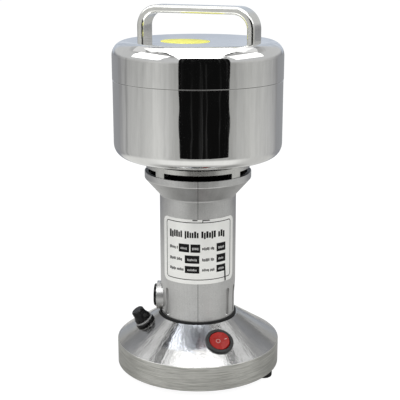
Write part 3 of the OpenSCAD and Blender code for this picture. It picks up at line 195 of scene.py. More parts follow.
# %% Colour
def shade(color, share, lift=0.0):
    return [min(1.0, c * share + lift) for c in color]


def mix_color(tree, factor, first, second):
    inputs = {0: factor}
    for key, value in ((6, first), (7, second)):
        inputs[key] = value if isinstance(value, bpy.types.NodeSocket) else (*value, 1.0)
    return add(tree, "ShaderNodeMix", inputs, data_type="RGBA").outputs[2]


def tint(tree, surface, factor, dark, light):
    tree.links.new(mix_color(tree, factor, dark, light), surface.inputs["Base Color"])


print("helpers ready")

# %% [markdown]
# ## Polished stainless steel
# The lid and the bowl are pressed from thin sheet and buffed until they mirror the room. Real
# buffed steel is never quite flat: long shallow waves from the press bend each reflection, and
# faint wipe marks change the gloss. A picture of steel could give the marks, but it would have to
# be unwrapped. Noise laid round the axis fits every turned shape: a little of it in the roughness,
# and a bump that is long up the wall and narrow round it.

# %% Polished steel
wipe_cells, wave_cells = (14.0, 160.0, 60.0), (5.0, 40.0, 18.0)
polish_cells = (40.0, 2500.0, 2500.0)
polish_share = 0.006  # depth of the polish lines against the waves
wiped_share = 0.95  # tone where the steel was wiped


def polished_steel(name, color, low, high, wave):
    finish, tree, surface = new_finish(name, color, 1.0, (low + high) / 2)
    wipes = noise(tree, around_axis(tree, wipe_cells), detail=4.0, roughness=0.6)
    tree.links.new(remap(tree, wipes, low, high), surface.inputs["Roughness"])
    waves = noise(tree, around_axis(tree, wave_cells), detail=2.0)
    long_waves = bump(tree, surface, waves, wave)
    polish_lines = noise(tree, around_axis(tree, polish_cells), detail=2.0)
    bump(tree, surface, polish_lines, wave * polish_share, long_waves)
    tint(tree, surface, rises(tree, wipes), shade(color, wiped_share), color)
    return finish


# name, colour, least and most roughness, depth of the waves in metres
steel_finish = polished_steel("polished_steel", (0.80, 0.80, 0.79), 0.03, 0.07, 0.00022)
inner_steel_finish = polished_steel("inner_steel", (0.72, 0.72, 0.71), 0.16, 0.26, 0.0002)
print("steel finishes:", steel_finish.name, inner_steel_finish.name)

# %% [markdown]
# ## The turned base
# The base is one casting turned on a lathe. The tool leaves fine rings round the axis, and rings
# smear every reflection across themselves: on the cone that makes bright and dark sectors that
# run from the top to the rim, as on the bottom of a pan. The rings could be modelled, but they
# would need millions of faces. The shader's anisotropy does the same when its tangent runs round
# the axis and is then turned a quarter. The rim is brushed along its edge, so it shares the
# direction, and its strokes are light and dark. The cone is smoother near its top, with a ragged
# border. Its colour holds painted light: a bluish painted reflection of the column near the front
# of its top, and a darker, warmer painted shade at its sides. One material holds it all and picks
# by height and angle.

# %% Where the base changes
cone_start, cone_full = 0.0251, 0.0255  # heights in metres
# the cone is smoother near its top, where a painted reflection of the column lies near the front
smooth_start, reflection_start, top_full, ragged_reach = 0.0380, 0.0385, 0.0425, 0.012
reflection_angle, reflection_half, reflection_end = -0.12, 0.32, 0.48  # angles in radians from the front
# radians from the front where the painted shade at the cone's sides begins and is full
side_start, side_full = 1.0, 1.45

# %% How the base looks
smear, quarter_turn = 0.92, 0.25
rim_rough_low, rim_rough_high = 0.34, 0.50
low_cone_rough, top_cone_rough = 0.19, 0.09
rim_dark, rim_light = (0.30, 0.30, 0.275), (0.78, 0.775, 0.735)
cone_dark, cone_light = (0.55, 0.55, 0.545), (0.63, 0.63, 0.625)
# a bluish painted reflection of the column, and a darker, warmer painted shade for the sides
painted_column_reflection, cone_side_shade = (0.74, 0.77, 0.84), (0.47, 0.455, 0.42)
stroke_cells, patch_cells = (4.0, 500.0, 2400.0), (2.2, 60.0, 90.0)
ragged_cells, wander_cells = (3.5, 0.0, 420.0), (9.0, 70.0, 0.0)
wander_depth, stroke_depth = 0.00032, 0.000015


# %% Tones of the base
def turned_tones(tree, turn, strokes, ragged_height, is_cone):
    rim_tone = mix_color(tree, rises(tree, strokes), rim_dark, rim_light)
    patches = noise(tree, around_axis(tree, patch_cells))
    cone_tone = mix_color(tree, rises(tree, patches), cone_dark, cone_light)
    # painted reflection of the column: bluish near the front of the cone's top, with a ragged
    # border
    off_front = add_math(tree, "ABSOLUTE", add_math(tree, "SUBTRACT", turn, reflection_angle))
    is_column_reflection = times(tree, rises(tree, ragged_height, reflection_start, top_full, True),
                    falls(tree, off_front, reflection_half, reflection_end, True))
    cone_tone = mix_color(tree, is_column_reflection, cone_tone, painted_column_reflection)
    # painted shade at the cone's sides, darker and warmer
    is_side = rises(tree, add_math(tree, "ABSOLUTE", turn), side_start, side_full, True)
    cone_tone = mix_color(tree, is_side, cone_tone, cone_side_shade)
    return mix_color(tree, is_cone, rim_tone, cone_tone)


# %% Turned aluminium
def turned_base(name):
    finish, tree, surface = new_finish(name, (0.60, 0.595, 0.58), 1.0, 0.2)
    surface.inputs["Anisotropic"].default_value = smear
    surface.inputs["Anisotropic Rotation"].default_value = quarter_turn
    round_axis = add(tree, "ShaderNodeTangent", direction_type="RADIAL", axis="Z").outputs[0]
    tree.links.new(round_axis, surface.inputs["Tangent"])
    place = split(tree, metres(tree))
    turn, height = axis_angle(tree, place), place[2]
    is_cone = rises(tree, height, cone_start, cone_full)
    strokes = noise(tree, around_axis(tree, stroke_cells), detail=5.0, roughness=0.68)
    ragged = noise(tree, around_axis(tree, ragged_cells), roughness=0.6)
    ragged_height = add_math(tree, "ADD", height, times(tree, ragged, ragged_reach))
    rim_rough = remap(tree, strokes, rim_rough_low, rim_rough_high)
    cone_rough = remap(tree, ragged_height, low_cone_rough, top_cone_rough,
                       smooth_start, top_full, True)
    rough = add(tree, "ShaderNodeMix", {0: is_cone, 2: rim_rough, 3: cone_rough}).outputs[0]
    tree.links.new(rough, surface.inputs["Roughness"])
    wander = noise(tree, around_axis(tree, wander_cells), detail=4.0, roughness=0.6)
    on_cone = bump(tree, surface, times(tree, wander, is_cone), wander_depth)
    is_rim = add_math(tree, "SUBTRACT", 1.0, is_cone)
    bump(tree, surface, times(tree, strokes, is_rim), stroke_depth, on_cone)
    tones = turned_tones(tree, turn, strokes, ragged_height, is_cone)
    tree.links.new(tones, surface.inputs["Base Color"])
    return finish


base_finish = turned_base("turned_base")
print("base finish:", base_finish.name)

# %% [markdown]
# ## Cast aluminium of column and collar
# The column's halves are die-cast, then tumbled to a satin. Such a skin has a very fine grain, a
# few soft clouds where the metal cooled unevenly, and faint upright rub marks. Three noises at
# three scales give that, and the roughness stays high enough to blur what it mirrors. The colour
# also holds painted light: painted shade on the flare, which faces down, a painted highlight on
# the lip, and a near-black painted shade on the inside, which is why the vents look black. The
# inside could be a second material, but each half is one piece with one slot, so a rule on the
# distance from the axis tells inside from outside.

# %% Inside of a casting
wall_low_z, wall_high_z = 0.1526, 0.1667  # heights between which the flare's wall runs outward
cut_fade, skin_fade = 0.0001, 0.0002


def is_inside(tree, place, wall_radii, cut_heights, cut_r):
    # nearer the axis than a limit: the wall, or at the vents a circle a short way in from outside
    cut_low, cut_high = cut_heights
    wall = remap(tree, place[2], *wall_radii, wall_low_z, wall_high_z)
    at_cut = times(tree, rises(tree, place[2], cut_low, cut_low + cut_fade),
                   falls(tree, place[2], cut_high - cut_fade, cut_high))
    limit = add_math(tree, "MAXIMUM", wall, times(tree, at_cut, cut_r))
    depth = add_math(tree, "SUBTRACT", limit, axis_distance(tree, place))
    return rises(tree, depth, 0.0, skin_fade)


# %% How the castings look
cloud_scale, grain_scale, rub_cells = 70.0, 1800.0, (26.0, 60.0, 14.0)
cloud_share, speckle_share, rub_depth_share = 0.6, 0.5, 2.0
smoother, rougher = 0.06, 0.07
speckle_low, speckle_high = 0.4, 0.6
dark_share, light_share = 0.84, 1.08
flare_painted_shade, flare_start, flare_full = 0.80, 0.1500, 0.1540  # painted shade, darker than the column
lip_painted_highlight, lip_start, lip_full = 1.38, 0.1660, 0.1668  # turned bright after casting
# near-black painted shade for the inside of the casting
inner_painted_shade = (0.012, 0.012, 0.012)


# %% Satin casting
def satin_casting(name, color, roughness, grain_depth, wall_radii, cut_heights, cut_r):
    finish, tree, surface = new_finish(name, color, 1.0, roughness)
    clouds = noise(tree, metres(tree), cloud_scale)
    rubs = noise(tree, around_axis(tree, rub_cells), detail=5.0, roughness=0.65)
    grain = noise(tree, metres(tree), grain_scale, detail=2.0)
    uneven = blended(tree, clouds, rubs, cloud_share)
    tree.links.new(remap(tree, uneven, roughness - smoother, roughness + rougher),
                   surface.inputs["Roughness"])
    rubbed = bump(tree, surface, rubs, grain_depth * rub_depth_share)
    bump(tree, surface, grain, grain_depth, rubbed)
    speckle = rises(tree, blended(tree, uneven, grain, speckle_share), speckle_low, speckle_high)
    skin = mix_color(tree, speckle, shade(color, dark_share), shade(color, light_share))
    place = split(tree, metres(tree))
    # painted shade on the flare, which faces down, and a painted highlight on the lip
    flare = remap(tree, place[2], 1.0, flare_painted_shade, flare_start, flare_full, True)
    lip = remap(tree, place[2], 1.0, lip_painted_highlight, lip_start, lip_full)
    skin = scaled(tree, skin, times(tree, flare, lip))
    # the inside gets the near-black painted shade
    inside = is_inside(tree, place, wall_radii, cut_heights, cut_r)
    tree.links.new(mix_color(tree, inside, skin, inner_painted_shade), surface.inputs["Base Color"])
    return finish


# name, colour, roughness, depth of the grain, the wall's radii below and above the flare, then
# the heights and the radius of the vents' faces
casing_finish = satin_casting("satin_casting", (0.58, 0.58, 0.575), 0.40, 0.000016,
                              (0.0290, 0.0415), (0.17185, 0.1725), 0.0438)
collar_finish = satin_casting("bright_casting", (0.62, 0.62, 0.60), 0.26, 0.000004,
                              (0.0385, 0.0385), (0.17995, 0.1821), 0.0430)
print("casting finishes:", casing_finish.name, collar_finish.name)

# %% [markdown]
# ## Plated bar, drawn steel and small metal
# The handle is bent from a drawn bar and plated: bright, with hair-fine lines along it. Screws,
# shaft and bearings share the idea with more roughness. Each could have its own network, but one
# helper with a few numbers serves them all, and a change to it reaches every piece.

# %% Drawn metal
smoothest_share, roughest_share = 0.7, 1.3
spot_scale, spot_share = 160.0, 0.92


def drawn_metal(name, color, roughness, line_scale, depth):
    finish, tree, surface = new_finish(name, color, 1.0, roughness)
    lines = noise(tree, scaled(tree, metres(tree), line_scale), detail=4.0, roughness=0.6)
    spots = noise(tree, metres(tree), spot_scale, detail=2.0)
    tree.links.new(remap(tree, lines, roughness * smoothest_share, roughness * roughest_share),
                   surface.inputs["Roughness"])
    bump(tree, surface, lines, depth)
    tint(tree, surface, rises(tree, spots), shade(color, spot_share), color)
    return finish


# %% Bright bar, steel, copper and brass
# name, colour, roughness, cells a metre along x, y and z, depth of the lines in metres
handle_finish = drawn_metal("bright_bar", (0.80, 0.80, 0.77), 0.15, (400.0, 400.0, 120.0), 0.00003)
screw_finish = drawn_metal("zinc_steel", (0.66, 0.66, 0.67), 0.3, (900.0, 900.0, 900.0), 0.00001)
shaft_finish = drawn_metal("ground_steel", (0.64, 0.64, 0.65), 0.24,
                           (300.0, 300.0, 3000.0), 0.000006)
blade_finish = drawn_metal("blade_steel", (0.74, 0.74, 0.75), 0.2, (600.0, 2500.0, 600.0), 0.000008)
lamination_finish = drawn_metal("lamination_steel", (0.26, 0.26, 0.28), 0.45,
                                (40.0, 40.0, 4000.0), 0.00008)
copper_finish = drawn_metal("copper", (0.72, 0.38, 0.2), 0.28, (300.0, 300.0, 1200.0), 0.00001)
brass_finish = drawn_metal("brass", (0.74, 0.58, 0.26), 0.3, (900.0, 900.0, 900.0), 0.00001)
print("drawn metals: 7")

# %% [markdown]
# ## Plastics and rubber
# The switch, the fuse holder and the caps are moulded. Black moulded plastic is never pure black:
# it has a fine spark-eroded grain and a soft sheen. Rubber is duller, with coarser grain. The
# rocker is a clear red with a smooth gloss, so its grain is almost nothing. Plain colours would
# do from afar, but grain and a little dust in the gloss keep the close views from looking flat.

# %% Moulded finish
dust_scale, clean_share, dusty_share = 120.0, 0.85, 1.2
dust_tone_share, dust_tone_lift = 1.25, 0.004


def moulded(name, color, roughness, grain_scale, grain_depth, sheen=0.5):
    finish, tree, surface = new_finish(name, color, 0.0, roughness)
    surface.inputs["Specular IOR Level"].default_value = sheen
    dust = noise(tree, metres(tree), dust_scale, detail=4.0)
    bump(tree, surface, noise(tree, metres(tree), grain_scale), grain_depth)
    dusty = min(1.0, roughness * dusty_share)
    tree.links.new(remap(tree, dust, roughness * clean_share, dusty), surface.inputs["Roughness"])
    tint(tree, surface, rises(tree, dust), color, shade(color, dust_tone_share, dust_tone_lift))
    return finish


# %% Plastics and rubber
# name, colour, roughness, grains a metre, depth of the grain in metres, sheen
black_finish = moulded("black_plastic", (0.004, 0.004, 0.0045), 0.24, 2200.0, 0.000006, 0.22)
bezel_finish = moulded("bezel_plastic", (0.014, 0.014, 0.014), 0.42, 2200.0, 0.00002, 0.35)
rubber_finish = moulded("black_rubber", (0.008, 0.008, 0.008), 0.6, 1500.0, 0.00003, 0.2)
grey_finish = moulded("grey_plastic", (0.30, 0.30, 0.30), 0.35, 1500.0, 0.00002)
red_finish = moulded("red_rocker", (0.28, 0.007, 0.004), 0.28, 900.0, 0.000006, 0.25)
resin_finish = moulded("brown_resin", (0.12, 0.05, 0.02), 0.42, 1200.0, 0.00003)
carbon_finish = moulded("pressed_carbon", (0.03, 0.03, 0.032), 0.6, 1800.0, 0.00005)
cover_finish = moulded("painted_sheet", (0.09, 0.09, 0.095), 0.45, 700.0, 0.00003)
print("moulded finishes: 8")

# %% [markdown]
# ## Wire, glass, foil and paper
# The coils are wound from enamelled wire, so fine ridges run round them. They could be modelled
# turn by turn, but the casing hides them, and a wave in the bump is enough. The fuse shows glass
# between two metal ends, and picks by the distance from its own middle. The plate is printed foil
# and the sticker plain paper, each with a faint fibre.

# %% Enamelled wire
wire_scale, wire_waver, wire_depth = 420.0, 1.5, 0.00025


def wound_wire(name):
    finish, tree, surface = new_finish(name, (0.42, 0.16, 0.05), 0.6, 0.3)
    inputs = {"Vector": metres(tree), "Scale": wire_scale, "Distortion": wire_waver}
    coils = add(tree, "ShaderNodeTexWave", inputs, bands_direction="DIAGONAL").outputs["Fac"]
    bump(tree, surface, coils, wire_depth)
    # darker where the wave is low: painted shade between the turns of wire
    tint(tree, surface, coils, (0.30, 0.10, 0.03), (0.50, 0.21, 0.07))
    return finish


wire_finish = wound_wire("enamelled_wire")
print("wire finish:", wire_finish.name)

# %% Out of the cone's wall
cone_tilt = math.radians(32.535)
fuse_turn, switch_turn = math.radians(-80.0), math.radians(20.8)


def out_of_cone(turn):
    # the way that the cone's wall faces, this far round from the front
    return Vector((math.sin(turn) * math.sin(cone_tilt), -math.cos(turn) * math.sin(cone_tilt),
                   math.cos(cone_tilt)))


print("fuse lies along", [round(v, 5) for v in out_of_cone(fuse_turn)])

# %% Glass fuse
end_metal, glass_tone = (0.72, 0.72, 0.74), (0.75, 0.80, 0.82)
glass_half, end_start = 0.0048, 0.0052
glass_scale, glass_depth = 900.0, 0.00001


def glass_fuse(name):
    finish, tree, surface = new_finish(name, end_metal, 1.0, 0.2)
    fuse_low, fuse_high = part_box("fuse")
    from_middle = add(tree, "ShaderNodeVectorMath",
                      {0: metres(tree), 1: (fuse_low + fuse_high) / 2}, operation="SUBTRACT")
    along = add(tree, "ShaderNodeVectorMath",
                {0: from_middle.outputs[0], 1: out_of_cone(fuse_turn)}, operation="DOT_PRODUCT")
    off_middle = add_math(tree, "ABSOLUTE", along.outputs["Value"])
    is_end = rises(tree, off_middle, glass_half, end_start)
    tree.links.new(is_end, surface.inputs["Metallic"])
    tint(tree, surface, is_end, glass_tone, end_metal)
    bump(tree, surface, noise(tree, metres(tree), glass_scale), glass_depth)
    return finish


fuse_finish = glass_fuse("glass_fuse")
print("fuse finish:", fuse_finish.name)

# %% Foil, paper and ink
wear_scale, least_share, most_share, worn_share = 90.0, 0.85, 1.15, 0.95


def printed_sheet(name, color, roughness, fibre_scale, depth, metallic=0.0, sheen=0.5):
    finish, tree, surface = new_finish(name, color, metallic, roughness)
    surface.inputs["Specular IOR Level"].default_value = sheen
    bump(tree, surface, noise(tree, metres(tree), fibre_scale, detail=4.0), depth)
    wear = noise(tree, metres(tree), wear_scale, detail=2.0)
    tree.links.new(remap(tree, wear, roughness * least_share, roughness * most_share),
                   surface.inputs["Roughness"])
    tint(tree, surface, rises(tree, wear), shade(color, worn_share), color)
    return finish


# %% Sheets and inks
# name, colour, roughness, fibres a metre, depth in metres
foil_finish = printed_sheet("plate_foil", (0.92, 0.92, 0.89), 0.34, 700.0, 0.00001, metallic=0.45)
paper_finish = printed_sheet("yellow_paper", (0.93, 0.90, 0.16), 0.6, 1400.0, 0.00002)
ink_finish = printed_sheet("black_ink", (0.008, 0.008, 0.008), 0.45, 900.0, 0.000005, sheen=0.12)
faint_ink_finish = printed_sheet("grey_ink", (0.030, 0.030, 0.030), 0.5, 900.0, 0.000005, sheen=0.2)
value_ink_finish = printed_sheet("light_ink", (0.50, 0.50, 0.49), 0.5, 900.0, 0.000005)
white_ink_finish = printed_sheet("white_ink", (0.60, 0.46, 0.44), 0.5, 900.0, 0.000005)
print("sheet finishes: 6")

# %% [markdown]
# ## A finish for every piece
# Each piece of the model keeps its shape and gets its finish in the material slot that it came
# with. The finishes could be picked by hand in the slot list, but a table of names shows at a
# glance which pieces share one, and misses none.

# %% Give out the finishes
finish_of = {
    "base_shell": base_finish, "bottom_cover": cover_finish, "cover_screws": screw_finish,
    "feet": rubber_finish, "cord_gland": rubber_finish, "switch_housing": bezel_finish,
    "rocker": red_finish, "switch_terminals": brass_finish, "fuse_holder": black_finish,
    "fuse_holder_ring": grey_finish, "fuse_holder_nut": black_finish, "fuse": fuse_finish,
    "fuse_cap": black_finish, "column_gasket": rubber_finish, "base_screws": screw_finish,
    "casing_left": casing_finish, "casing_right": casing_finish, "casing_screws": screw_finish,
    "rating_plate": foil_finish, "lower_bearing": shaft_finish, "upper_bearing": shaft_finish,
    "shaft": shaft_finish, "armature_core": lamination_finish, "armature_winding": wire_finish,
    "commutator": copper_finish, "fan": black_finish, "stator_core": lamination_finish,
    "field_coils": wire_finish, "brush_holders": resin_finish, "carbon_brushes": carbon_finish,
    "brush_springs": screw_finish, "brush_cap": black_finish, "vent_collar": collar_finish,
    "collar_screws": screw_finish, "bowl": steel_finish, "bowl_screws": screw_finish,
    "shaft_seal": rubber_finish, "lower_blade": blade_finish, "blade_spacer": shaft_finish,
    "upper_blade": blade_finish, "blade_washer": screw_finish, "blade_nut": screw_finish,
    "lid_shell": steel_finish, "lid_thread_ring": inner_steel_finish, "lid_gasket": rubber_finish,
    "handle": handle_finish, "handle_screws": screw_finish, "lid_sticker": paper_finish,
}
for name, piece in nodes.items():
    if not piece.material_slots:
        piece.data.materials.append(finish_of[name])
    for holder in piece.material_slots:
        holder.material = finish_of[name]
print("finished pieces:", len(finish_of))

# %% [markdown]
# ## Lid and bowl, spun again
# The model's shells are right in size, but their round shoulders are made of a few flat bands,
# and a mirror shows every band. A subdivision modifier would round them, but it would soften the
# sharp rims too. The same outline, spun with many more steps, gives a clean reflection and keeps
# the rims. The outline is a superellipse: a corner a little fuller than a quarter circle.

# %% Sizes of lid and bowl
sheet_t, edge_ease = 0.0015, 0.0002
bowl_z, seam_z, lid_z = 0.1844, 0.2476, 0.2479
bowl_r, bowl_flat_r, bowl_corner_h, bowl_power = 0.069, 0.0545, 0.0124, 2.3
neck_r, neck_top_z = 0.0654, 0.2600
lid_r, lid_flat_r, lid_top_z, lid_shoulder_h, lid_power = 0.06925, 0.0565, 0.2785, 0.0121, 2.1
bowl_hole_r = 0.0123
print("bowl and lid:", 2 * bowl_r, "and", 2 * lid_r, "across")


# %% A new piece from its form
def new_piece(name, form, finish):
    mesh = bpy.data.meshes.new(name)
    form.to_mesh(mesh)
    form.free()
    piece = bpy.data.objects.new(name, mesh)
    scene.collection.objects.link(piece)
    piece.data.materials.append(finish)
    return piece


# %% Round corner
corner_steps = 40


def corner(r, z, reach, rise, power):
    points = []
    for i in range(corner_steps + 1):
        q = math.pi / 2 * i / corner_steps
        points.append((r + reach * max(0.0, math.cos(q)) ** (2 / power),
                       z + rise * math.sin(q) ** (2 / power)))
    return points


# %% Rings and the faces between them
round_steps, on_axis = 256, 1e-7


def ring_at(form, r, z):
    if r < on_axis:
        return [form.verts.new((0.0, 0.0, z))]
    angles = [2 * math.pi * k / round_steps for k in range(round_steps)]
    return [form.verts.new((r * math.cos(q), r * math.sin(q), z)) for q in angles]


def join_rings(form, low, high):
    if len(low) == 1 and len(high) == 1:
        return
    for k in range(round_steps):
        n = (k + 1) % round_steps
        if len(low) == 1:
            form.faces.new((low[0], high[n], high[k]))
        elif len(high) == 1:
            form.faces.new((low[k], low[n], high[0]))
        else:
            form.faces.new((low[k], low[n], high[n], high[k]))


# %% Spin an outline about the axis
sharp_angle = math.radians(32)


def spin(name, outline, body, finish):
    form = bmesh.new()
    rings = [ring_at(form, r, z) for r, z in outline]
    for low, high in zip(rings, rings[1:] + rings[:1]):
        join_rings(form, low, high)
    bmesh.ops.recalc_face_normals(form, faces=form.faces)
    piece = new_piece(name, form, finish)
    piece.data.shade_smooth()
    piece.data.set_sharp_from_angle(angle=sharp_angle)
    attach(piece, body)
    return piece


# %% Lid
shoulder_z, shoulder_reach = lid_top_z - lid_shoulder_h, lid_r - lid_flat_r
outer = corner(lid_flat_r, shoulder_z, shoulder_reach, lid_shoulder_h, lid_power)
inner = corner(lid_flat_r, shoulder_z, shoulder_reach - sheet_t, lid_shoulder_h - sheet_t,
               lid_power)
lid_outline = [(lid_r - sheet_t, lid_z), (lid_r - edge_ease, lid_z), (lid_r, lid_z + edge_ease),
               *outer, (0.0, lid_top_z), (0.0, lid_top_z - sheet_t), *reversed(inner)]
lid = spin("lid_mirror", lid_outline, "lid", steel_finish)
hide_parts("lid_shell")
print("lid faces:", len(lid.data.polygons))

# %% Bowl
corner_z, corner_reach = bowl_z + bowl_corner_h, bowl_r - bowl_flat_r
outer = corner(bowl_flat_r, corner_z, corner_reach, -bowl_corner_h, bowl_power)
inner = corner(bowl_flat_r, corner_z, corner_reach - sheet_t, sheet_t - bowl_corner_h, bowl_power)
bowl_outline = [(neck_r, neck_top_z), (neck_r, seam_z), (bowl_r - edge_ease, seam_z),
                (bowl_r, seam_z - edge_ease), *outer, (bowl_hole_r, bowl_z),
                (bowl_hole_r, bowl_z + sheet_t), *reversed(inner),
                (bowl_r - sheet_t, seam_z - sheet_t), (neck_r - sheet_t, seam_z - sheet_t),
                (neck_r - sheet_t, neck_top_z)]
bowl = spin("bowl_mirror", bowl_outline, "housing", steel_finish)
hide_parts("bowl")
print("bowl faces:", len(bowl.data.polygons))

# %% [markdown]
# ## Print on the plate
# The foil plate has a thin border line, a top row of larger blocks, rows of small blocks of
# uneven size, and solid fields with light blocks in them. It is creased near one corner, and the
# creases are drawn as dark lines of painted shade. The print could be an image on the foil, but an
# image goes soft when the camera comes near. So each mark is a thin patch bent round the column, a
# hair above the foil, and holds from every side.

# %% Patch bent round the column
plate_r = 0.03235
ink_lift, value_lift, crease_lift = 0.00004, 0.00008, 0.00009


def column_point(azimuth, height, radius):
    q = math.radians(azimuth)
    return Vector((radius * math.sin(q), -radius * math.cos(q), height))


def bent_patch(name, spans, finish, lift, steps=10):
    # each span runs from left to right in degrees and from low to high in metres
    form = bmesh.new()
    for left, right, low, high in spans:
        grid = [[form.verts.new(column_point(left + (right - left) * i / steps, h, plate_r + lift))
                 for i in range(steps + 1)] for h in (low, high)]
        for i in range(steps):
            form.faces.new((grid[0][i], grid[0][i + 1], grid[1][i + 1], grid[1][i]))
    piece = new_piece(name, form, finish)
    piece.data.shade_smooth()
    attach(piece, "housing")
    return piece


# %% A row of small blocks
dice = random.Random(7)
narrowest, widest = 0.8, 1.2
drops_below, drops_above = (0, 0, 0.16), (0, 0.2)  # shares of the row's height
group_gap_share = 1.1


def block_row(left, right, low, high, width, gap, group=6):
    # plain blocks of slightly different sizes, with a wider gap after each group
    tall = high - low
    spans, at = [], left
    while at + width < right:
        wide = width * dice.uniform(narrowest, widest)
        bottom = low - tall * dice.choice(drops_below)
        top = high - tall * dice.choice(drops_above)
        spans.append((at, at + wide, bottom, top))
        at += wide + gap
        if len(spans) % group == 0:
            at += width * group_gap_share
    return spans


# %% Fields
top_row, middle_row, low_row = (0.1100, 0.1170), (0.1006, 0.1074), (0.0922, 0.0983)
fields = [(-28.9, -12.7, *top_row), (-10.8, 3.3, *top_row), (28.0, 44.0, *top_row),
          (-19.4, 2.0, *middle_row), (28.0, 44.0, *middle_row),
          (-19.4, 2.0, *low_row), (28.0, 44.0, *low_row)]
value_inset_share, value_drop, value_rise = 0.18, 0.0011, 0.0007
bent_patch("plate_fields", fields, ink_finish, ink_lift)
values = []
for left, right, low, high in fields:
    inset, middle = (right - left) * value_inset_share, (low + high) / 2
    values += block_row(left + inset, right - inset, middle - value_drop, middle + value_rise,
                        width=1.25, gap=0.55, group=9)
bent_patch("plate_values", values, value_ink_finish, value_lift, 1)
print("fields:", len(fields))

# %% Top row and small rows
heading = block_row(-45.0, 44.5, 0.1224, 0.1280, width=2.9, gap=0.9)
bent_patch("plate_heading", heading, ink_finish, ink_lift, 2)
caption_left, right_caption = -45.0, (6.0, 25.5)
caption_drop, caption_rise = 0.0013, 0.0010
captions = []
for (low, high), end in ((top_row, -30.5), (middle_row, -22.5), (low_row, -21.0)):
    middle = (low + high) / 2
    for left, right in ((caption_left, end), right_caption):
        captions += block_row(left, right, middle - caption_drop, middle + caption_rise,
                              width=1.35, gap=0.5)
bent_patch("plate_captions", captions, faint_ink_finish, ink_lift, 1)
print("caption blocks:", len(captions))

# %% Creases
# dark lines of painted shade where the foil is creased: near the lower right corner, and at the
# top, where the foil crosses the parting line
crease_left, crease_right, crease_top = 41.7, 44.3, 0.0957
crease_slant, crease_step, crease_count = 0.2, 0.0021, 6
crease = [(crease_left + crease_slant * i, crease_right + crease_slant * i,
           crease_top - crease_step * (i + 1), crease_top - crease_step * i)
          for i in range(crease_count)]
wrinkles = [(-7.8, -0.7, 0.1368, 0.1376), (7.5, 17.0, 0.1368, 0.1376), (6.4, 7.5, 0.1351, 0.1376)]
# the creases are flat patches in black ink: painted shade, with no fold in the foil
bent_patch("plate_crease_shade", crease + wrinkles, ink_finish, crease_lift, 2)
print("creases:", len(crease + wrinkles))

# %% Path of the border line
border_left, border_right, border_low, border_high = -51.4, 54.6, 0.0866, 0.1352
border_corner, line_half = 0.0022, 0.00033
border_corner_steps, widest_step = 8, 3


def border_corners(inset):
    degrees_a_metre = math.degrees(1 / plate_r)
    left, right = border_left + inset * degrees_a_metre, border_right - inset * degrees_a_metre
    low, high = border_low + inset, border_high - inset
    reach = border_corner - inset
    across = reach * degrees_a_metre
    points = []
    for x, z, start in ((right, high, 0), (left, high, 90), (left, low, 180), (right, low, 270)):
        middle_x = x - across if x == right else x + across
        middle_z = z - reach if z == high else z + reach
        for i in range(border_corner_steps + 1):
            q = math.radians(start + 90 * i / border_corner_steps)
            points.append((middle_x + across * math.cos(q), middle_z + reach * math.sin(q)))
    return points


def border_path(inset):
    # the corners joined, with points close enough to follow the column's round
    points, dense = border_corners(inset), []
    for (a0, z0), (a1, z1) in zip(points, points[1:] + points[:1]):
        count = max(1, int(abs(a1 - a0) / widest_step))
        dense += [(a0 + (a1 - a0) * i / count, z0 + (z1 - z0) * i / count) for i in range(count)]
    return dense


# %% Border line
form = bmesh.new()
loops = [[form.verts.new(column_point(q, h, plate_r + ink_lift)) for q, h in border_path(inset)]
         for inset in (-line_half, line_half)]
for k in range(len(loops[0])):
    n = (k + 1) % len(loops[0])
    form.faces.new((loops[0][k], loops[0][n], loops[1][n], loops[1][k]))
border = new_piece("plate_border", form, ink_finish)
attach(border, "housing")
print("border points:", len(loops[0]))

# %% [markdown]
# ## Marks on the rocker
# A ring for off and a stroke for on are printed on the two faces of the rocker. They could be
# modelled as grooves with paint in them, but they are flat print. Each face is a slanted plane,
# so the marks are drawn in the switch's own axes and then laid on the plane.

# %% Axes of the switch
switch_r, switch_z = 0.049216, 0.037866
lean = math.radians(9.0)
pivot_up, pivot_drop, face_drop = -0.0006, 0.0026, 0.0002
out = out_of_cone(switch_turn)
side = Vector((math.cos(switch_turn), math.sin(switch_turn), 0.0))
up_slope = out.cross(side)
foot = Vector((math.sin(switch_turn) * switch_r, -math.cos(switch_turn) * switch_r, switch_z))
print("switch looks along", [round(v, 3) for v in out])


# %% Lay a mark on the rocker
def rocker_point(x, y):
    # x and y on the rocker at rest, before it leans to its left side
    high = pivot_drop - face_drop + abs(x) * math.tan(lean) + ink_lift
    leant_x = x * math.cos(lean) - high * math.sin(lean)
    leant_z = x * math.sin(lean) + high * math.cos(lean)
    return foot + side * leant_x + up_slope * y + out * (leant_z + pivot_up)


def rocker_mark(name, quads):
    form = bmesh.new()
    for quad in quads:
        form.faces.new([form.verts.new(rocker_point(x, y)) for x, y in quad])
    piece = new_piece(name, form, white_ink_finish)
    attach(piece, "rocker")
    return piece


# %% Ring and stroke
ring_middle, ring_out, ring_in, ring_steps = -0.0010, 0.0018, 0.00148, 32
stroke_left, stroke_right, stroke_half = 0.0043, 0.0065, 0.0002
ring = []
for i in range(ring_steps):
    q0, q1 = 2 * math.pi * i / ring_steps, 2 * math.pi * (i + 1) / ring_steps
    ring.append([(ring_middle + r * math.cos(q), r * math.sin(q))
                 for r, q in ((ring_in, q0), (ring_out, q0), (ring_out, q1), (ring_in, q1))])
stroke = [(stroke_left, -stroke_half), (stroke_right, -stroke_half),
          (stroke_right, stroke_half), (stroke_left, stroke_half)]
rocker_mark("mark_off", ring)
rocker_mark("mark_on", [stroke])
print("marks on the rocker: 2")

# %% [markdown]
# ## The parting line of the casting
# Where the two halves of the column meet, a hair-thin dark line runs up the front and the back. A
# gap between the halves would show it too, but they touch, as real ones do. So the line is drawn
# as a narrow ribbon that follows the column's outline.

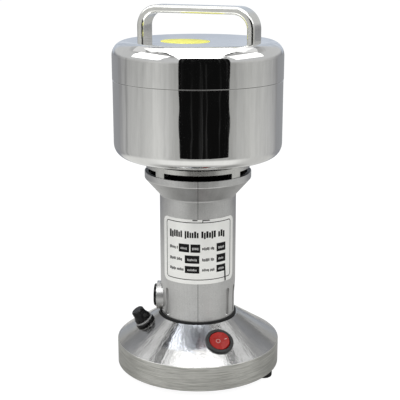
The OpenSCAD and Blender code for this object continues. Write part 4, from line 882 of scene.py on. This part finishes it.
# %% Outline of the column
foot_z, foot_r, column_r = 0.0491, 0.0310, 0.0318
ease_low, ease_high, ease_steps = 0.06278, 0.07884, 8
column_outline = [(foot_r, foot_z)]
for i in range(ease_steps + 1):
    eased = (1 - math.cos(math.pi * i / ease_steps)) / 2
    column_outline.append((foot_r + (column_r - foot_r) * eased,
                           ease_low + (ease_high - ease_low) * i / ease_steps))
flare = [(column_r, 0.1515), (0.03205, 0.1526), (0.03255, 0.15345), (0.04383, 0.16628)]
lip = [(0.04415, 0.1667), (0.0442, 0.16727), (0.0442, 0.1718)]
column_outline += flare + lip
print("points up the column:", len(column_outline))

# %% Parting line
parting_half = 0.00017


def parting_ribbon(name, azimuth):
    form = bmesh.new()
    q = math.radians(azimuth)
    across = Vector((math.cos(q), math.sin(q), 0.0)) * parting_half
    rows = []
    for r, z in column_outline:
        middle = column_point(azimuth, z, r + ink_lift)
        rows.append((form.verts.new(middle - across), form.verts.new(middle + across)))
    for (a0, b0), (a1, b1) in zip(rows, rows[1:]):
        form.faces.new((a0, b0, b1, a1))
    piece = new_piece(name, form, faint_ink_finish)
    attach(piece, "housing")
    return piece


parting_ribbon("parting_front", 0.0)
parting_ribbon("parting_back", 180.0)
print("parting lines: 2")

# %% [markdown]
# ## The room as the metal sees it
# Polished metal has no colour of its own, it shows the room. A round wall mirrors the room all
# the way round, squeezed: what stands at twice the angle shows at the angle. So the room's tones
# are written as a ramp round the axis, and the floor and the walls both use it. It could be built
# from real walls, but a ramp can be tuned one tone at a time.

# %% Tones round the axis
# degrees from the front, positive to the right, and the tone that stands there
room_tones = [
    (-180, (0.64, 0.66, 0.68)), (-175, (0.62, 0.64, 0.66)), (-169, (0.27, 0.28, 0.31)),
    (-150, (0.26, 0.27, 0.30)), (-128, (0.33, 0.33, 0.34)), (-112, (0.46, 0.46, 0.46)),
    (-109, (0.33, 0.33, 0.33)), (-104, (0.49, 0.49, 0.485)), (-78, (0.57, 0.57, 0.56)),
    (-54, (0.72, 0.72, 0.705)), (-40, (0.60, 0.60, 0.59)), (-30, (0.46, 0.46, 0.45)),
    (44, (0.42, 0.42, 0.41)), (56, (0.52, 0.52, 0.51)), (68, (0.60, 0.60, 0.585)),
    (92, (0.61, 0.61, 0.60)), (112, (0.50, 0.50, 0.50)), (126, (0.36, 0.36, 0.37)),
    (150, (0.27, 0.275, 0.30)), (169, (0.27, 0.28, 0.31)), (175, (0.62, 0.64, 0.66)),
    (180, (0.64, 0.66, 0.68)),
]


def tone_ramp(tree, angle):
    ramp = add(tree, "ShaderNodeValToRGB", {0: rises(tree, angle, -math.pi, math.pi)})
    stops = ramp.color_ramp.elements
    while len(stops) < len(room_tones):
        stops.new(0.5)
    for stop, (degrees, tone) in zip(stops, room_tones):
        stop.position = (degrees + 180) / 360
        stop.color = (*tone, 1.0)
    return ramp.outputs[0]


print("tones round the axis:", len(room_tones))

# %% [markdown]
# ## Floor
# The floor answers three kinds of rays. The camera sees plain white with a soft shadow. The metal
# sees a light patch near the object, which gives the bowl its bright lower edge: right at the base
# it is grey, a painted shadow, and it dims to the left and the right. Further out the metal sees
# the ramp, with streaks that run away from the object and so stand upright in the bowl. Everything
# else sees matt white paper. One plain white floor would be simpler, but the bowl would then mirror
# it as one flat white band.

# %% Tones of the floor
floor_r, floor_sides, floor_drop = 8.0, 96, 0.00005
paper_tone, seen_glow, seen_share = (0.85, 0.85, 0.85, 1.0), 1.2, 0.78
# the metal sees a grey painted shadow right at the base, and light paper from a little further out
near_painted_shadow, near_light = (0.48, 0.48, 0.47), (0.95, 0.95, 0.93)
near_start, near_full = 0.08, 0.17  # distances from the axis in metres
ramp_start, ramp_full = 0.30, 0.50
fade_start, fade_full = 0.8, 1.4  # radians to either side
left_dim, right_dim = 0.84, 0.66
spoke_cells, drift_cells = 9.0, 0.35
streak_low, streak_high = 0.86, 1.10
tone_near, tone_far, tone_start, tone_end = 1.06, 0.90, 1.0, 2.2


# %% What the metal sees of the floor
def floor_mirrored(tree):
    place = split(tree, add(tree, "ShaderNodeNewGeometry").outputs["Position"])
    far, angle = axis_distance(tree, place), axis_angle(tree, place)
    spokes = join(tree, times(tree, angle, spoke_cells), times(tree, far, drift_cells), 0.0)
    streaks = remap(tree, noise(tree, spokes, detail=5.0, roughness=0.65), streak_low, streak_high)
    streaked = scaled(tree, tone_ramp(tree, angle), streaks)
    shaded = scaled(tree, streaked, remap(tree, far, tone_near, tone_far, tone_start, tone_end))
    near = mix_color(tree, rises(tree, far, near_start, near_full, True), near_painted_shadow, near_light)
    dims = times(tree, remap(tree, angle, 1.0, right_dim, fade_start, fade_full, True),
                 remap(tree, angle, left_dim, 1.0, -fade_full, -fade_start, True))
    is_far = rises(tree, far, ramp_start, ramp_full, True)
    return mix_color(tree, is_far, scaled(tree, near, dims), shaded)


# %% Floor paper
def floor_paper(name):
    finish = bpy.data.materials.new(name)
    finish.use_nodes = True
    tree = finish.node_tree
    tree.nodes.clear()
    ray = add(tree, "ShaderNodeLightPath").outputs
    paper = add(tree, "ShaderNodeBsdfDiffuse", {"Color": paper_tone}).outputs[0]
    white = add(tree, "ShaderNodeEmission",
                {"Color": (1.0, 1.0, 1.0, 1.0), "Strength": seen_glow}).outputs[0]
    seen = add(tree, "ShaderNodeMixShader",
               {0: times(tree, ray["Is Camera Ray"], seen_share), 1: paper, 2: white}).outputs[0]
    glow = add(tree, "ShaderNodeEmission",
               {"Color": floor_mirrored(tree), "Strength": 1.0}).outputs[0]
    final = add(tree, "ShaderNodeMixShader", {0: ray["Is Glossy Ray"], 1: seen, 2: glow})
    add(tree, "ShaderNodeOutputMaterial", {0: final.outputs[0]})
    return finish


# %% Floor
form = bmesh.new()
bmesh.ops.create_circle(form, cap_ends=True, radius=floor_r, segments=floor_sides)
floor = new_piece("floor", form, floor_paper("floor_paper"))
floor.location = (0.0, 0.0, -floor_drop)
print("floor:", 2 * floor_r, "across")

# %% [markdown]
# ## Cards that only the metal sees
# The dark stripe down the middle of lid and bowl is the unlit gap in front of the object. A black
# card gives it, and faint upright streaks keep it from looking cut out of paper. The turned cone
# mirrors upwards, so a fan of white, grey and dark cards overhead makes its sectors, each placed
# where the cone shows it. A bright card in front lights the lid's shoulder, and two dark strips
# are its seams. Grey flags stand behind at each side for the edges of the bowl, and two low white
# cards hide the fan from the shoulder. All this could be painted into the room's tones, but a
# card has crisp edges and moves alone. Cards are hidden from the camera and from shadows, so they
# shape the reflections and nothing else.

# %% Card
streak_scale = (38.0, 1.0, 2.5)
streak_start, streak_full = 0.55, 0.75
cards = []


def card_paint(name, color, strength, streak):
    paint = bpy.data.materials.new(name)
    paint.use_nodes = True
    tree = paint.node_tree
    tree.nodes.clear()
    glow = add(tree, "ShaderNodeEmission", {"Color": (*color, 1.0), "Strength": strength})
    if streak:
        bands = noise(tree, scaled(tree, metres(tree), streak_scale), detail=4.0, roughness=0.6)
        level = remap(tree, bands, color[0], color[0] + streak, streak_start, streak_full, True)
        grey = add(tree, "ShaderNodeCombineColor", {0: level, 1: level, 2: level}).outputs[0]
        tree.links.new(grey, glow.inputs["Color"])
    add(tree, "ShaderNodeOutputMaterial", {0: glow.outputs[0]})
    return paint


def card(name, corners, color, strength, streak=0.0):
    form = bmesh.new()
    form.faces.new([form.verts.new(corner_point) for corner_point in corners])
    piece = new_piece(name, form, card_paint(name, color, strength, streak))
    piece.visible_camera = False
    piece.visible_shadow = False
    piece.visible_diffuse = False
    cards.append(piece)


# %% The dark gap
gap_y, gap_left, gap_right, gap_low, gap_top = -0.45, -0.188, 0.365, 0.065, 0.56
gap_tone, gap_streak = (0.005, 0.005, 0.006), 0.05
card("dark_gap", [(gap_left, gap_y, gap_low), (gap_right, gap_y, gap_low),
                  (gap_right, gap_y, gap_top), (gap_left, gap_y, gap_top)],
     gap_tone, 1.0, gap_streak)
print("dark gap:", round(gap_right - gap_left, 3), "wide")

# %% Where the cone looks
mirror_r, mirror_z = 0.055, 0.034


def shown_on(turn, rise, height):
    # the spot overhead that the cone shows this far round, for grooves whose faces rise so steeply
    q, e = math.radians(turn), math.radians(rise)
    face = Vector((math.sin(q) * math.cos(e), -math.cos(q) * math.cos(e), math.sin(e)))
    to_camera = Vector((0.0, -math.cos(camera_pitch), math.sin(camera_pitch)))
    along = face * (2 * face.dot(to_camera)) - to_camera
    start = Vector((mirror_r * math.sin(q), -mirror_r * math.cos(q), mirror_z))
    return start + along * ((height - start.z) / along.z)


# %% Sectors of the cone
fan_z, under_fan_z = 1.42, 1.41
short_rises, long_rises = (51.0, 54.0, 57.5, 61.0, 64.5), (46.0, 51.0, 57.5, 64.5, 72.0)
# name, left and right in degrees on the cone, tone, strength, height, rises
sectors = [
    ("white_middle", -25.0, 24.0, 1.0, 1.7, fan_z, long_rises),
    ("dark_left", -34.5, -27.0, 0.02, 1.0, under_fan_z, short_rises),
    ("light_left", -48.0, -35.0, 1.0, 0.82, fan_z, long_rises),
    ("half_left", -27.0, -25.0, 0.6, 1.0, fan_z, short_rises),
    ("dark_right", 24.0, 29.0, 0.02, 1.0, under_fan_z, short_rises),
    ("light_right", 29.5, 42.0, 0.9, 1.0, fan_z, long_rises),
]
for name, left, right, tone, strength, height, climb in sectors:
    corners = [shown_on(left, rise, height) for rise in climb]
    corners += [shown_on(right, rise, height) for rise in reversed(climb)]
    card(name, corners, (tone, tone, tone), strength)
print("sectors:", len(sectors))

# %% Front light and its seams
front_z, front_strength, seam_under_z = 1.28, 4.5, 1.27
front_corners = [(-0.62, -1.2), (0.62, -1.2), (0.48, -0.1), (-0.48, -0.1)]
seam_edge = [(0.69, -1.2), (0.57, -0.1), (0.69, 0.14), (0.61, 0.14), (0.50, -0.1), (0.62, -1.2)]
seam_tone = (0.05, 0.05, 0.05)
sides = (("left", -1.0), ("right", 1.0))
card("front_light", [(x, y, front_z) for x, y in front_corners], (1.0, 1.0, 1.0), front_strength)
for side_name, sign in sides:
    card("seam_" + side_name, [(sign * x, y, seam_under_z) for x, y in seam_edge], seam_tone, 1.0)
print("cards so far:", len(cards))

# %% Grey flags and shoulder cards
flag_r, flag_low, flag_high, flag_turns = 0.3, 0.12, 0.265, (118, 162)
flag_tone = (0.33, 0.335, 0.35)
shoulder_card_z, shoulder_strength = 0.45, 1.3
shoulder_patch = [(0.165, -0.035), (0.125, 0.12), (0.06, 0.12), (0.105, -0.035)]
for side_name, sign in sides:
    near_end, far_end = [(sign * flag_r * math.sin(math.radians(q)),
                          -flag_r * math.cos(math.radians(q))) for q in flag_turns]
    card("grey_flag_" + side_name, [(*near_end, flag_low), (*far_end, flag_low),
                                    (*far_end, flag_high), (*near_end, flag_high)],
         flag_tone, 1.0)
for side_name, sign in sides:
    card("shoulder_" + side_name, [(sign * x, y, shoulder_card_z) for x, y in shoulder_patch],
         (1.0, 1.0, 1.0), shoulder_strength)
print("cards:", len(cards))

# %% [markdown]
# ## World and lamps
# Around the scene are the walls of the room. Low down they take the tones of the floor's ramp,
# higher up they are a plain light grey, and the wall behind is cloudy and bluish. The ceiling is
# grey, darker behind. One wide soft box hangs above and in front, and one stands at each side: the
# lid's two bright lenses and the column's soft lights are their reflections. A ready-made picture
# of a studio could light it too, but its lights would stand in the wrong places.

# %% Tones of the room
side_tone, side_start_z, side_full_z = (0.63, 0.635, 0.64), 0.02, 0.16
cloud_dark, cloud_light, cloud_cells = (0.48, 0.53, 0.61), (0.70, 0.75, 0.83), 9.0
back_start, back_full, back_top_start, back_top_end = 2.55, 2.85, 0.46, 0.52
ceiling_tone, back_ceiling_tone = (0.46, 0.46, 0.46), (0.22, 0.23, 0.25)
ceiling_back_start, ceiling_back_full = 2.5, 2.8
ceiling_start_z, ceiling_full_z = 0.50, 0.66


# %% World
def room_toward(tree, where):
    toward = split(tree, where)
    angle = axis_angle(tree, toward)
    behind = add_math(tree, "ABSOLUTE", angle)
    side_wall = mix_color(tree, rises(tree, toward[2], side_start_z, side_full_z, True),
                          tone_ramp(tree, angle), side_tone)
    clouds = rises(tree, noise(tree, where, cloud_cells, detail=4.0))
    back_wall = mix_color(tree, clouds, cloud_dark, cloud_light)
    is_back = times(tree, rises(tree, behind, back_start, back_full, True),
                    falls(tree, toward[2], back_top_start, back_top_end, True))
    wall = mix_color(tree, is_back, side_wall, back_wall)
    ceiling = mix_color(tree, rises(tree, behind, ceiling_back_start, ceiling_back_full, True),
                        ceiling_tone, back_ceiling_tone)
    is_ceiling = rises(tree, toward[2], ceiling_start_z, ceiling_full_z, True)
    return mix_color(tree, is_ceiling, wall, ceiling)


world = bpy.data.worlds.new("room")
scene.world = world
world.use_nodes = True
tree = world.node_tree
tree.nodes.clear()
room = room_toward(tree, add(tree, "ShaderNodeTexCoord").outputs["Generated"])
is_camera = add(tree, "ShaderNodeLightPath").outputs["Is Camera Ray"]
for_camera = mix_color(tree, is_camera, room, (1.0, 1.0, 1.0))
background = add(tree, "ShaderNodeBackground", {0: for_camera, 1: 1.0})
add(tree, "ShaderNodeOutputWorld", {0: background.outputs[0]})
print("world:", world.name)


# %% Soft boxes
def soft_box(name, place, aim, width, height, radiance):
    data = bpy.data.lights.new(name, "AREA")
    data.shape = "RECTANGLE"
    data.size, data.size_y = width, height
    data.energy = radiance * math.pi * width * height
    lamp = bpy.data.objects.new(name, data)
    lamp.location = place
    lamp.rotation_euler = (Vector(aim) - Vector(place)).to_track_quat("-Z", "Y").to_euler()
    lamp.visible_camera = False
    scene.collection.objects.link(lamp)
    return lamp


above_aim, side_aim = (0.0, 0.0, 0.15), (0.0, 0.0, 0.2)
soft_box("box_above", (0.02, -0.60, 1.35), above_aim, width=1.3, height=1.6, radiance=1.35)
soft_box("box_left", (-1.06, -0.30, 0.95), side_aim, width=1.1, height=0.75, radiance=1.7)
soft_box("box_right", (1.06, -0.30, 0.97), side_aim, width=1.1, height=0.64, radiance=1.15)
print("soft boxes: 3")
